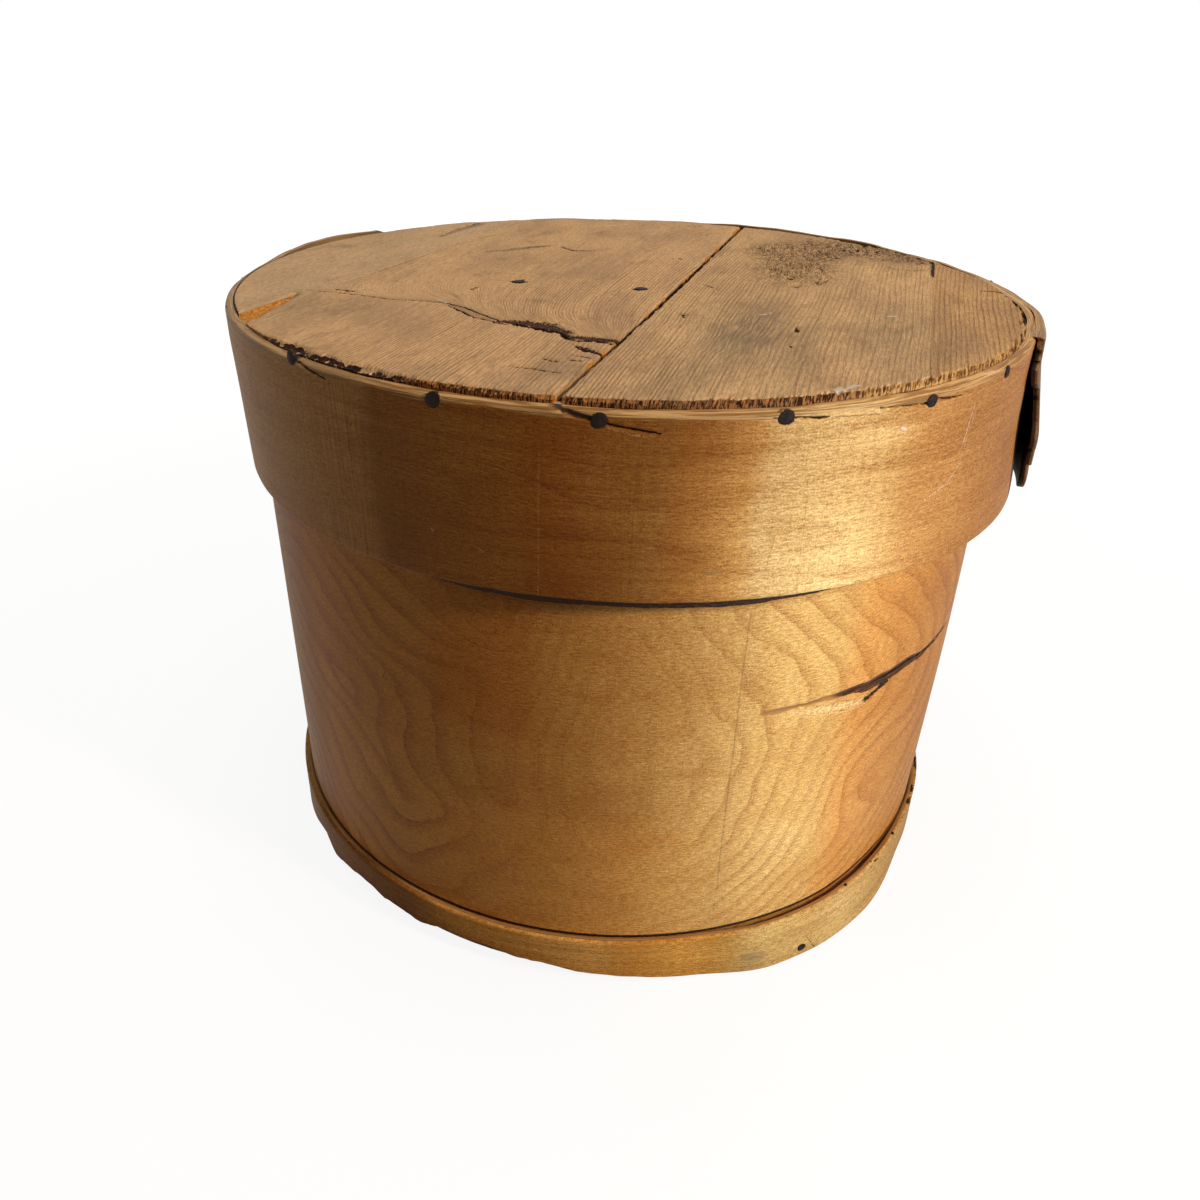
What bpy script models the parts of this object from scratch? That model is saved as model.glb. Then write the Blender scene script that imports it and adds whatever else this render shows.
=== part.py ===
"""A round bentwood cheese box with a lift-off lid, at its real size.

Metres, +Z up. The origin is the middle of the underside, on the surface that the box stands on.
-Y is the front that the photograph shows. Angles are in degrees round +Z, counted from +X.
A thin wooden strip is bent round three bottom boards and lapped at the back, and a narrow hoop is
nailed round its foot. The lid is four pine boards and a cleat inside a second bent strip, the rim,
whose free outer end has sprung away from the lid on the right.
"""

import math

import bmesh
import bpy
from mathutils import Matrix, Vector

# Clearances
FIT_GAP = 0.0003  # between pieces that touch
LID_PLAY = 0.0008  # between the lid's rim and the nail heads on the side's lap
BOARD_GAP = 0.0010  # shrinkage gap between neighbouring boards
CUT_OVERRUN = 0.002  # how far a cutter runs past the faces that it opens

# Side, the tall bent strip
SIDE_RADIUS = 0.1942  # outside, away from the lap
SIDE_THICKNESS = 0.0030
SIDE_HEIGHT = 0.2887
SIDE_INNER_END = 111.0  # angle of the strip's inner end
SIDE_LAP = 36.0  # angle that the outer end runs past the inner end

# Split through the side at the front right, along its grain
CRACK_LEFT = -61.0
CRACK_RIGHT = -31.0
CRACK_HEIGHT = 0.1555
CRACK_WIDTH = 0.0028
CRACK_FALL = 0.0045  # from its left end to its right end

# Base hoop
HOOP_THICKNESS = 0.0040
HOOP_HEIGHT = 0.0275
HOOP_INNER_END = 168.0
HOOP_LAP = 24.0
# Bites out of the hoop's worn lower edge: angle, half its angle, depth as a share of the hoop's height
HOOP_CHIP_SHARES = ((-142.0, 7.0, 0.16), (-128.0, 6.0, 0.22), (-116.0, 5.0, 0.16), (-104.0, 4.0, 0.09))

# Bottom boards. A joint is its offset as a share of the boards' radius, and its turn off the grain
BOTTOM_THICKNESS = 0.016
BOTTOM_GRAIN = 10.0
BOTTOM_NAMES = ("bottom_board_back", "bottom_board_middle", "bottom_board_front")
BOTTOM_JOINT_SHARES = ((-0.38, 0.0), (0.36, 0.0))

# Lid boards
LID_THICKNESS = 0.014
LID_GRAIN = 75.3
LID_NAMES = ("lid_board_far_left", "lid_board_left", "lid_board_right", "lid_board_far_right")
LID_JOINT_SHARES = ((-0.650, -4.7), (0.133, 0.0), (0.774, 0.0))

# Splinter lost from the left lid board, along its first joint and widest at the rim
SPLINTER_LENGTH = 0.066
SPLINTER_WIDTH = 0.010
SPLINTER_DEPTH = 0.0065

# Lid's rim, the lower bent strip
RIM_THICKNESS = 0.0036
RIM_DEPTH = 0.079
RIM_SKEW = 0.0025  # the rim's foot is pushed this far towards +X
RIM_INNER_END = 30.0
RIM_LAP = 54.0
RIM_SPRING = 0.0042  # the most that the lap's free end stands off
RIM_SPRING_ANGLE = 33.0  # the length of the lap that does
RIM_SPRING_SHARES = (0.8, 1.0, 0.1, 0.1)  # at the foot, the belly, the boards' underside and the top
RIM_BELLY_SHARE = 0.39  # the belly's height, as a share of the rim's depth

# Cleat under the lid, across its boards
CLEAT_END_GAP = 0.015  # between its ends and the side
CLEAT_WIDTH = 0.044
CLEAT_THICKNESS = 0.010
CLEAT_SHIFT_SHARE = -0.08  # along the boards' grain, as a share of their radius

# Nails
SHANK_RADIUS = 0.0009
HEAD_RADIUS = 0.0031
HEAD_THICKNESS = 0.0008
HEAD_CROWN_SHARE = 0.85  # the flat on a head, as a share of the head's radius
CLINCH_HEAD_RADIUS = 0.0026
CLINCH_LENGTH = 0.006  # the folded tip of a clinched nail
NAIL_LENGTH = 0.024
POINT_LENGTH = 0.003
POINT_SHARE = 0.3  # the blunt point, as a share of the shank's radius
HOOP_NAIL_ANGLES = (-57.5, -22.0, 15.0, 52.0, 93.0, 128.0, 150.0, 185.0)
HOOP_NAIL_SHARE = 0.28  # height, as a share of the bottom boards' thickness
HOOP_CLINCH_SHARES = (0.25, 0.78)  # of the lap's angle and of the hoop's height
SIDE_CLINCH_ANGLE_SHARES = (0.18, 0.62)  # of the lap's angle, in turn
SIDE_CLINCH_SHARES = (0.07, 0.21, 0.36, 0.50, 0.64, 0.79, 0.93)  # of the height above the hoop
RIM_NAIL_ANGLES = (-176.0, -158.0, -132.2, -110.9, -93.0, -73.8, -55.1, -39.7)
RIM_NAIL_ANGLES += (11.0, 47.0, 66.0, 85.0, 104.0, 123.0, 143.0, 164.0)
RIM_NAIL_SHARE = 0.29  # below the lid's top, as a share of the boards' thickness
RIM_CLINCH_ANGLE_SHARE = 0.88
RIM_CLINCH_SHARES = (0.14, 0.48, 0.82)  # of the height below the boards
CLEAT_NAIL_SHARE = 0.6  # a cleat nail's length past the lid's thickness, as a share of the cleat's
# Places on the cleat, as shares of its half length and half width
CLEAT_TOP_NAIL_SHARES = ((-0.31, -0.21), (0.051, 0.22))
CLEAT_UNDER_NAIL_SHARES = ((-0.83, 0.0), (0.57, 0.1), (0.94, -0.1))

# Facets
STATION_ANGLE = 3.0  # between a bent strip's cross-sections
RAMP_ANGLE = 12.0  # over which a strip climbs onto its own end
SHARP_ANGLE = 30.0
PIN_SIDES = 8

# What the sizes above give
TURN = 360.0
SIDE_INNER_RADIUS = SIDE_RADIUS - SIDE_THICKNESS
BOTTOM_RADIUS = SIDE_INNER_RADIUS - FIT_GAP
RIM_INNER_RADIUS = SIDE_RADIUS + SIDE_THICKNESS + HEAD_THICKNESS + 2 * FIT_GAP + LID_PLAY
LID_RADIUS = RIM_INNER_RADIUS - FIT_GAP
LID_UNDERSIDE = SIDE_HEIGHT + FIT_GAP
BOX_TOP = LID_UNDERSIDE + LID_THICKNESS
RIM_FOOT = BOX_TOP - RIM_DEPTH
CLEAT_TOP = LID_UNDERSIDE - FIT_GAP
CLEAT_LENGTH = 2 * (SIDE_INNER_RADIUS - CLEAT_END_GAP)

# Each finish's colour, roughness and metallic value, as the photograph shows them
FINISHES = {
    "side_veneer": ((0.52, 0.29, 0.10), 0.55, 0.0),
    "rim_veneer": ((0.46, 0.25, 0.09), 0.55, 0.0),
    "hoop_wood": ((0.45, 0.29, 0.12), 0.65, 0.0),
    "pine_board": ((0.40, 0.24, 0.11), 0.75, 0.0),
    "old_iron": ((0.045, 0.038, 0.034), 0.6, 0.8),
}

X_AXIS = Vector((1.0, 0.0, 0.0))
Y_AXIS = Vector((0.0, 1.0, 0.0))
Z_AXIS = Vector((0.0, 0.0, 1.0))


# Scene


def clear_scene():
    for old in list(bpy.data.objects):
        bpy.data.objects.remove(old)


def add_empty(name):
    """An empty on the box's axis, which carries the pieces that move together."""
    empty = bpy.data.objects.new(name, None)
    bpy.context.scene.collection.objects.link(empty)
    return empty


def finish(name):
    """The Principled material of that name, made once."""
    made = bpy.data.materials.get(name)
    if made:
        return made
    colour, roughness, metallic = FINISHES[name]
    made = bpy.data.materials.new(name)
    made.use_nodes = True
    shader = made.node_tree.nodes["Principled BSDF"]
    shader.inputs["Base Color"].default_value = (*colour, 1.0)
    shader.inputs["Roughness"].default_value = roughness
    shader.inputs["Metallic"].default_value = metallic
    return made


def mesh_from(name, bm):
    """Turns the bmesh into a mesh with its faces pointing out."""
    bmesh.ops.recalc_face_normals(bm, faces=bm.faces)
    mesh = bpy.data.meshes.new(name)
    bm.to_mesh(mesh)
    bm.free()
    return mesh


def add_piece(name, mesh, material, carrier):
    """Puts a piece in the scene, with its material, on the empty that carries it."""
    if not mesh.materials:
        mesh.materials.append(finish(material))
        mesh.shade_smooth()
        mesh.set_sharp_from_angle(angle=math.radians(SHARP_ANGLE))
    piece = bpy.data.objects.new(name, mesh)
    bpy.context.scene.collection.objects.link(piece)
    piece.parent = carrier
    return piece


def cut(bm, name, *pieces):
    """Takes the bmesh's shape out of each piece."""
    cutter = bpy.data.objects.new(name, mesh_from(name, bm))
    bpy.context.scene.collection.objects.link(cutter)
    cutter.hide_render = True
    cutter.display_type = "WIRE"
    for piece in pieces:
        boolean = piece.modifiers.new(name, "BOOLEAN")
        boolean.operation = "DIFFERENCE"
        boolean.object = cutter


# Shapes


def radial(angle):
    return Vector((math.cos(math.radians(angle)), math.sin(math.radians(angle)), 0.0))


def around(radius, angle, height):
    """The point at that radius and angle round the box's axis."""
    return radius * radial(angle) + height * Z_AXIS


def ease(share):
    """Goes smoothly from 0 to 1 as the share does."""
    share = min(max(share, 0.0), 1.0)
    return share * share * (3 - 2 * share)


def loft(bm, rings, matrix=None):
    """A closed body through polygons of points that have as many corners each."""
    matrix = matrix or Matrix.Identity(4)
    made = [[bm.verts.new(matrix @ point) for point in ring] for ring in rings]
    for ring, following in zip(made, made[1:]):
        for corner in range(len(ring)):
            after = (corner + 1) % len(ring)
            bm.faces.new((ring[corner], ring[after], following[after], following[corner]))
    bm.faces.new(made[0])
    bm.faces.new(made[-1])


def prism(outline, low, high):
    bm = bmesh.new()
    loft(bm, [[point + height * Z_AXIS for point in outline] for height in (low, high)])
    return bm


# Bent strips


class BentStrip:
    """A strip wound clockwise from its inner end, round and over itself to its free outer end."""

    def __init__(self, inner_radius, thickness, inner_end, lap):
        self.inner_radius = inner_radius
        self.thickness = thickness
        self.inner_end = inner_end
        self.lap = lap
        self.length = TURN + lap

    def lift(self, turn):
        """How far the strip stands off its first turn, after that many degrees."""
        return ease((turn - TURN + RAMP_ANGLE) / RAMP_ANGLE) * (self.thickness + FIT_GAP)

    def outside(self, angle):
        """The radius of the outermost face at that angle."""
        turn = (self.inner_end - angle) % TURN
        if turn <= self.lap:
            turn += TURN
        return self.inner_radius + self.lift(turn) + self.thickness

    def cover(self, angle):
        """What a hoop bent over this strip adds to its radius there, easing down past the free end."""
        turn = (self.inner_end - angle) % TURN
        past_end = ease((turn - self.lap) / RAMP_ANGLE)
        return max((1 - past_end) * (self.thickness + FIT_GAP), self.lift(turn))

    def lap_angle(self, share):
        """The angle that far along the lap, from the free end to the inner end."""
        return self.inner_end - self.lap * (1 - share)

    def body(self, section):
        """Sweeps a section along the strip. section(turn, angle) gives its inner radii and heights."""
        stations = round(self.length / STATION_ANGLE)
        rings = []
        for station in range(stations + 1):
            turn = self.length * station / stations
            angle = self.inner_end - turn
            inner = section(turn, angle)
            outer = [(radius + self.thickness, height) for radius, height in reversed(inner)]
            rings.append([around(radius, angle, height) for radius, height in inner + outer])
        bm = bmesh.new()
        loft(bm, rings)
        return bm


SIDE = BentStrip(SIDE_INNER_RADIUS, SIDE_THICKNESS, SIDE_INNER_END, SIDE_LAP)
HOOP = BentStrip(SIDE_RADIUS + FIT_GAP, HOOP_THICKNESS, HOOP_INNER_END, HOOP_LAP)
RIM = BentStrip(RIM_INNER_RADIUS, RIM_THICKNESS, RIM_INNER_END, RIM_LAP)


def side_section(turn, _angle):
    radius = SIDE.inner_radius + SIDE.lift(turn)
    return [(radius, 0.0), (radius, SIDE_HEIGHT)]


def chip_height(angle):
    """The height of the hoop's worn lower edge at that angle."""
    signed = (angle + TURN / 2) % TURN - TURN / 2
    bites = [share * (1 - ease(abs(signed - centre) / half)) for centre, half, share in HOOP_CHIP_SHARES]
    return max(bites) * HOOP_HEIGHT


def hoop_section(turn, angle):
    radius = HOOP.inner_radius + HOOP.lift(turn) + SIDE.cover(angle)
    return [(radius, chip_height(angle)), (radius, HOOP_HEIGHT)]


def hoop_outside(angle):
    return HOOP.outside(angle) + SIDE.cover(angle)


def rim_lean(angle, height):
    """How far the rim leans out there, because its foot is pushed sideways."""
    below = max(LID_UNDERSIDE - height, 0.0)
    return RIM_SKEW * radial(angle).x * below / (LID_UNDERSIDE - RIM_FOOT)


def rim_section(turn, angle):
    radius = RIM.inner_radius + RIM.lift(turn)
    spring = RIM_SPRING * ease((turn - RIM.length + RIM_SPRING_ANGLE) / RIM_SPRING_ANGLE)
    heights = (RIM_FOOT, RIM_FOOT + RIM_DEPTH * RIM_BELLY_SHARE, LID_UNDERSIDE, BOX_TOP)
    return [
        (radius + rim_lean(angle, height) + spring * share, height)
        for height, share in zip(heights, RIM_SPRING_SHARES)
    ]


def rim_outside(angle, height):
    return RIM.outside(angle) + rim_lean(angle, height)


# Boards


def clipped(outline, point, inward):
    """The part of a convex outline that lies inward of a line through the point."""
    kept = []
    for start, end in zip(outline, outline[1:] + outline[:1]):
        start_depth = (start - point).dot(inward)
        end_depth = (end - point).dot(inward)
        if start_depth >= 0:
            kept.append(start)
        if start_depth * end_depth < 0:
            kept.append(start.lerp(end, start_depth / (start_depth - end_depth)))
    return kept


def joint_line(radius, grain, joint):
    """A point on a joint between two boards, and the direction across it to the second board."""
    offset_share, turn = joint
    return radial(grain - TURN / 4) * (radius * offset_share), radial(grain + turn - TURN / 4)


def add_boards(names, radius, grain, joints, low, high, carrier):
    """Boards side by side that fill a disc together, with a shrinkage gap at each joint."""
    steps = round(TURN / STATION_ANGLE)
    boards = []
    for place, name in enumerate(names):
        outline = [around(radius, step * TURN / steps, 0.0) for step in range(steps)]
        if place > 0:
            point, across = joint_line(radius, grain, joints[place - 1])
            outline = clipped(outline, point + across * (BOARD_GAP / 2), across)
        if place < len(joints):
            point, across = joint_line(radius, grain, joints[place])
            outline = clipped(outline, point - across * (BOARD_GAP / 2), -across)
        boards.append(add_piece(name, mesh_from(name, prism(outline, low, high)), "pine_board", carrier))
    return boards


# Nails


def polygon(centre, across, radius):
    """The corners of a nail's section, in the plane of the vector across and of the Y axis."""
    corners = []
    for corner in range(PIN_SIDES):
        angle = 2 * math.pi * (corner + 0.5) / PIN_SIDES
        corners.append(centre + radius * (across * math.cos(angle) + Y_AXIS * math.sin(angle)))
    return corners


def nail_mesh(name, head_radius, length, clinched):
    """A nail with its head on the XY plane and its shank down. A clinched tip is folded towards +X."""
    rings = [
        polygon(Z_AXIS * HEAD_THICKNESS, X_AXIS, head_radius * HEAD_CROWN_SHARE),
        polygon(Vector(), X_AXIS, head_radius),
        polygon(Vector(), X_AXIS, SHANK_RADIUS),
    ]
    if clinched:
        corner = -length * Z_AXIS
        rings.append(polygon(corner, X_AXIS + Z_AXIS, SHANK_RADIUS))
        rings.append(polygon(corner + (CLINCH_LENGTH - POINT_LENGTH) * X_AXIS, Z_AXIS, SHANK_RADIUS))
        rings.append(polygon(corner + CLINCH_LENGTH * X_AXIS, Z_AXIS, SHANK_RADIUS * POINT_SHARE))
    else:
        rings.append(polygon((POINT_LENGTH - length) * Z_AXIS, X_AXIS, SHANK_RADIUS))
        rings.append(polygon(-length * Z_AXIS, X_AXIS, SHANK_RADIUS * POINT_SHARE))
    bm = bmesh.new()
    loft(bm, rings)
    return mesh_from(name, bm)


class Nails:
    """A numbered set of like nails that share a mesh, and the holes that they need."""

    def __init__(self, prefix, carrier, length, head_radius=HEAD_RADIUS, clinched=False):
        self.prefix = prefix
        self.carrier = carrier
        self.length = length
        self.head_radius = head_radius
        self.mesh = nail_mesh(prefix, head_radius, length, clinched)
        self.count = 0
        self.holes = bmesh.new()

    def drive(self, seat, inward, towards, sunk=False):
        """Adds a nail with its head on seat and its shank inward. A clinched tip is folded towards."""
        self.count += 1
        outward = -inward
        frame = Matrix((towards, outward.cross(towards), outward)).transposed().to_4x4()
        frame.translation = seat
        nail = add_piece(f"{self.prefix}_{self.count}", self.mesh, "old_iron", self.carrier)
        nail.matrix_world = frame
        hole_radius = SHANK_RADIUS + FIT_GAP
        steps = [(CUT_OVERRUN, hole_radius), (-self.length - FIT_GAP, hole_radius)]
        if sunk:
            pocket_radius = self.head_radius + FIT_GAP
            mouth = HEAD_THICKNESS + CUT_OVERRUN
            steps = [(mouth, pocket_radius), (-FIT_GAP, pocket_radius), (-FIT_GAP, hole_radius), steps[-1]]
        loft(self.holes, [polygon(height * Z_AXIS, X_AXIS, radius) for height, radius in steps], frame)

    def drive_round(self, radius, angle, height, towards=Z_AXIS):
        """Drives a nail from outside towards the box's axis."""
        self.drive(around(radius + FIT_GAP, angle, height), -radial(angle), towards)

    def cut_holes(self, *pieces):
        cut(self.holes, f"{self.prefix}_holes", *pieces)


def clinch_length(outer_radius, inner_radius):
    """The length that takes a clinched nail's bend just inside the strip that it holds."""
    return outer_radius - inner_radius + 2 * FIT_GAP + SHANK_RADIUS


# Box


def split_side(side):
    """Opens a long thin lens through the side, along its grain."""
    steps = round((CRACK_RIGHT - CRACK_LEFT) / STATION_ANGLE)
    rings = []
    for step in range(1, steps):
        share = step / steps
        angle = CRACK_LEFT + (CRACK_RIGHT - CRACK_LEFT) * share
        middle = CRACK_HEIGHT + CRACK_FALL * (0.5 - share)
        half = CRACK_WIDTH / 2 * math.sin(math.pi * share)
        inner = SIDE_INNER_RADIUS - CUT_OVERRUN
        outer = SIDE_RADIUS + CUT_OVERRUN
        rings.append(
            [
                around(inner, angle, middle - half),
                around(outer, angle, middle - half),
                around(outer, angle, middle + half),
                around(inner, angle, middle + half),
            ]
        )
    bm = bmesh.new()
    loft(bm, rings)
    cut(bm, "side_split", side)


def nail_side_lap(side, box):
    """Clinched nails up the side's lap, in two staggered rows."""
    outside = SIDE.outside(SIDE.lap_angle(0.0))
    length = clinch_length(outside, SIDE_INNER_RADIUS)
    nails = Nails("side_lap_nail", box, length, CLINCH_HEAD_RADIUS, clinched=True)
    for place, share in enumerate(SIDE_CLINCH_SHARES):
        angle = SIDE.lap_angle(SIDE_CLINCH_ANGLE_SHARES[place % len(SIDE_CLINCH_ANGLE_SHARES)])
        nails.drive_round(outside, angle, HOOP_HEIGHT + (SIDE_HEIGHT - HOOP_HEIGHT) * share, towards=-Z_AXIS)
    nails.cut_holes(side)


def build_box():
    box = add_empty("box")
    side = add_piece("side_band", mesh_from("side_band", SIDE.body(side_section)), "side_veneer", box)
    hoop = add_piece("base_hoop", mesh_from("base_hoop", HOOP.body(hoop_section)), "hoop_wood", box)
    boards = add_boards(
        BOTTOM_NAMES, BOTTOM_RADIUS, BOTTOM_GRAIN, BOTTOM_JOINT_SHARES, 0.0, BOTTOM_THICKNESS, box
    )
    split_side(side)
    nail_side_lap(side, box)

    hoop_nails = Nails("hoop_nail", box, NAIL_LENGTH)
    for angle in HOOP_NAIL_ANGLES:
        hoop_nails.drive_round(hoop_outside(angle), angle, BOTTOM_THICKNESS * HOOP_NAIL_SHARE)
    hoop_nails.cut_holes(hoop, side, *boards)

    angle_share, height_share = HOOP_CLINCH_SHARES
    lap_angle = HOOP.lap_angle(angle_share)
    lap_length = clinch_length(hoop_outside(lap_angle), SIDE_INNER_RADIUS)
    lap_nail = Nails("hoop_lap_nail", box, lap_length, CLINCH_HEAD_RADIUS, clinched=True)
    lap_nail.drive_round(hoop_outside(lap_angle), lap_angle, HOOP_HEIGHT * height_share)
    lap_nail.cut_holes(hoop, side)


# Lid


def break_out_splinter(board):
    """Cuts the tapering recess beside the first joint, from the rim inwards."""
    point, across = joint_line(LID_RADIUS, LID_GRAIN, LID_JOINT_SHARES[0])
    along = Vector((-across.y, across.x, 0.0))
    inset = point.dot(along)
    to_rim = inset + math.sqrt(LID_RADIUS**2 - point.length_squared + inset**2)
    mouth = point - along * (to_rim + CUT_OVERRUN) + Z_AXIS * BOX_TOP
    tip = mouth + along * (SPLINTER_LENGTH + CUT_OVERRUN)
    near, far = -across * BOARD_GAP, across * SPLINTER_WIDTH
    above, below = Z_AXIS * CUT_OVERRUN, -Z_AXIS * SPLINTER_DEPTH
    bm = bmesh.new()
    corners = (mouth + near + above, mouth + near + below, mouth + far + below / 2, mouth + far + above)
    verts = [bm.verts.new(corner) for corner in (*corners, tip + near + above, tip + near)]
    for face in ((0, 1, 2, 3), (0, 4, 5, 1), (0, 3, 4), (1, 5, 2), (2, 5, 3), (3, 5, 4)):
        bm.faces.new([verts[corner] for corner in face])
    cut(bm, "splinter", board)


def build_cleat(boards, lid):
    """The cleat that ties the lid's boards together from beneath, and the nails through them."""
    along, across = radial(LID_GRAIN - TURN / 4), radial(LID_GRAIN)
    middle = across * (LID_RADIUS * CLEAT_SHIFT_SHARE)

    def place(x_share, y_share):
        return middle + along * (CLEAT_LENGTH / 2 * x_share) + across * (CLEAT_WIDTH / 2 * y_share)

    outline = [place(x_share, y_share) for x_share, y_share in ((-1, -1), (1, -1), (1, 1), (-1, 1))]
    cleat_mesh = mesh_from("lid_cleat", prism(outline, CLEAT_TOP - CLEAT_THICKNESS, CLEAT_TOP))
    cleat = add_piece("lid_cleat", cleat_mesh, "pine_board", lid)
    nails = Nails("cleat_nail", lid, LID_THICKNESS + CLEAT_THICKNESS * CLEAT_NAIL_SHARE)
    for shares in CLEAT_TOP_NAIL_SHARES:
        nails.drive(place(*shares) + Z_AXIS * (BOX_TOP - HEAD_THICKNESS), -Z_AXIS, along, sunk=True)
    for shares in CLEAT_UNDER_NAIL_SHARES:
        nails.drive(place(*shares) + Z_AXIS * (CLEAT_TOP - CLEAT_THICKNESS - FIT_GAP), Z_AXIS, along)
    nails.cut_holes(cleat, *boards)


def build_lid():
    lid = add_empty("lid_lift")
    boards = add_boards(LID_NAMES, LID_RADIUS, LID_GRAIN, LID_JOINT_SHARES, LID_UNDERSIDE, BOX_TOP, lid)
    rim = add_piece("lid_rim", mesh_from("lid_rim", RIM.body(rim_section)), "rim_veneer", lid)
    break_out_splinter(boards[LID_NAMES.index("lid_board_left")])
    build_cleat(boards, lid)

    rim_nails = Nails("rim_nail", lid, NAIL_LENGTH)
    height = BOX_TOP - LID_THICKNESS * RIM_NAIL_SHARE
    for angle in RIM_NAIL_ANGLES:
        rim_nails.drive_round(rim_outside(angle, height), angle, height)
    rim_nails.cut_holes(rim, *boards)

    lap_angle = RIM.lap_angle(RIM_CLINCH_ANGLE_SHARE)
    lap_length = clinch_length(RIM.outside(lap_angle), RIM_INNER_RADIUS)
    lap_nails = Nails("rim_lap_nail", lid, lap_length, CLINCH_HEAD_RADIUS, clinched=True)
    for share in RIM_CLINCH_SHARES:
        height = RIM_FOOT + (LID_UNDERSIDE - RIM_FOOT) * share
        lap_nails.drive_round(rim_outside(lap_angle, height), lap_angle, height, towards=-Z_AXIS)
    lap_nails.cut_holes(rim)


clear_scene()
build_box()
build_lid()
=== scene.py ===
"""Looks of a round bentwood cheese box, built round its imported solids.

Metres, +Z up, -Y towards the front of the photograph. Angles are in degrees round +Z, from +X.
Places named PIXELS are read in the photograph's 1200 by 1200 frame and projected onto the surface
that carries them. The bent strips, the lid's boards and the nails in the strips are replaced by
finer meshes, and every other solid keeps its shape and gets a finish.
"""

import math

import bmesh
import bpy
import numpy as np
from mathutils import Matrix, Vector


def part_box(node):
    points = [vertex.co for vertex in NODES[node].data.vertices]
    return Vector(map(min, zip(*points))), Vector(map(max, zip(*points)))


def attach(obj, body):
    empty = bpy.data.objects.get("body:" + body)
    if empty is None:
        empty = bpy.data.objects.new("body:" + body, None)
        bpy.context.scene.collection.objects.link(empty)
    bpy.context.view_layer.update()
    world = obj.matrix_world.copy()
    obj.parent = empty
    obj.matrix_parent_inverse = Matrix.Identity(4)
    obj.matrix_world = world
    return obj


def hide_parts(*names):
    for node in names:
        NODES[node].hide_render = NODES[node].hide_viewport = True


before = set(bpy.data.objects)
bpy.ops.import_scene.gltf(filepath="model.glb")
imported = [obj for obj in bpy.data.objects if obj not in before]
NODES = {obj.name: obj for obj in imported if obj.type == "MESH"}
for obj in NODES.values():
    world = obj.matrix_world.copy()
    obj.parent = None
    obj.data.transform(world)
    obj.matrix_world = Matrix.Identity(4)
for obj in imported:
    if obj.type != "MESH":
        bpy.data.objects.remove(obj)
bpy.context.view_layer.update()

MM = 0.001
TURN = 360
FRONT = -90  # the angle that faces the camera


def front_radius(node):
    """The outer radius of a bent strip, which crosses the front squarely."""
    return -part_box(node)[0].y


# Camera, fitted to the photograph
PHOTO_SIDE = 1200
CAMERA_PLACE = (0, -0.53885, 0.4188)
CAMERA_ANGLES = (60.056, -1.462, 1.987)
FOCAL_PIXELS = 992.21
SENSOR_WIDTH = 36

# Heights and radii, from the solids
BOX_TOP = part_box("lid_board_left")[1].z
LID_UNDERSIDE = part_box("lid_board_left")[0].z
SIDE_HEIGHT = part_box("side_band")[1].z
HOOP_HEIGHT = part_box("base_hoop")[1].z
RIM_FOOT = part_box("lid_rim")[0].z
SIDE_RADIUS = front_radius("side_band")
HOOP_RADIUS = front_radius("base_hoop")
RIM_RADIUS = front_radius("lid_rim")
SIDE_THICKNESS = 3 * MM
HOOP_THICKNESS = 4 * MM
RIM_THICKNESS = 3.6 * MM
FIT_GAP = 0.3 * MM
RAMP_ANGLE = 12
LID_RADIUS = RIM_RADIUS - RIM_THICKNESS - FIT_GAP


# Numbers and noise


def smooth(value, low=0, high=1):
    """Goes smoothly from 0 to 1 as the value goes from low to high."""
    share = np.clip((value - low) / (high - low), 0, 1)
    return share * share * (3 - 2 * share)


def drop(value, low=0, high=1):
    """Goes smoothly from 1 to 0 as the value goes from low to high."""
    return 1 - smooth(value, low, high)


def rise(value, low, high):
    """From 0 to 1 between two lengths in millimetres."""
    return smooth(value, low * MM, high * MM)


def fall(value, low, high):
    """From 1 to 0 between two lengths in millimetres."""
    return drop(value, low * MM, high * MM)


def zone(value, start, full, end, gone):
    """1 between the two inner places and 0 past the two outer ones."""
    return smooth(value, start, full) * drop(value, end, gone)


def mm_zone(value, *places):
    """A zone whose places are in millimetres."""
    return zone(value, *(place * MM for place in places))


def signed(angle):
    """The same angle from -180 to 180 degrees."""
    return (angle + TURN / 2) % TURN - TURN / 2


def heading(angle):
    """The flat direction at an angle."""
    return np.array((math.cos(math.radians(angle)), math.sin(math.radians(angle))))


def tinting(*zones):
    """Each point's tint, from pairs of a share and the tint where that share is full."""
    tint = 1
    for share, colour in zones:
        tint = tint * (1 + share[..., None] * (np.array(colour) - 1))
    return tint


def lattice(column, row, seed):
    """A fixed random number from -1 to 1 for each point of a lattice."""
    mixed = (column * 374761393 + row * 668265263 + seed * 974634777) & 0xFFFFFFFF
    mixed = ((mixed ^ (mixed >> 13)) * 1274126177) & 0xFFFFFFFF
    return ((mixed ^ (mixed >> 16)) & 0xFFFF) / 0x7FFF - 1


def ripple(x, y, x_size, y_size, seed, octaves=1):
    """Smooth noise from about -1 to 1 with swells of that size in millimetres."""
    total = 0
    for octave in range(octaves):
        scale = 2**octave
        across, up = x / (x_size * MM) * scale, y / (y_size * MM) * scale
        column, row = np.floor(across).astype(np.int64), np.floor(up).astype(np.int64)
        x_share, y_share = smooth(across - column), smooth(up - row)
        low = lattice(column, row, seed + octave)
        low += (lattice(column + 1, row, seed + octave) - low) * x_share
        high = lattice(column, row + 1, seed + octave)
        high += (lattice(column + 1, row + 1, seed + octave) - high) * x_share
        total = total + (low + (high - low) * y_share) / scale
    return total


def jitter(x, size, seed, octaves=1):
    """The same noise along one line."""
    return ripple(x, 0 * x, size, 1, seed, octaves)


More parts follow.
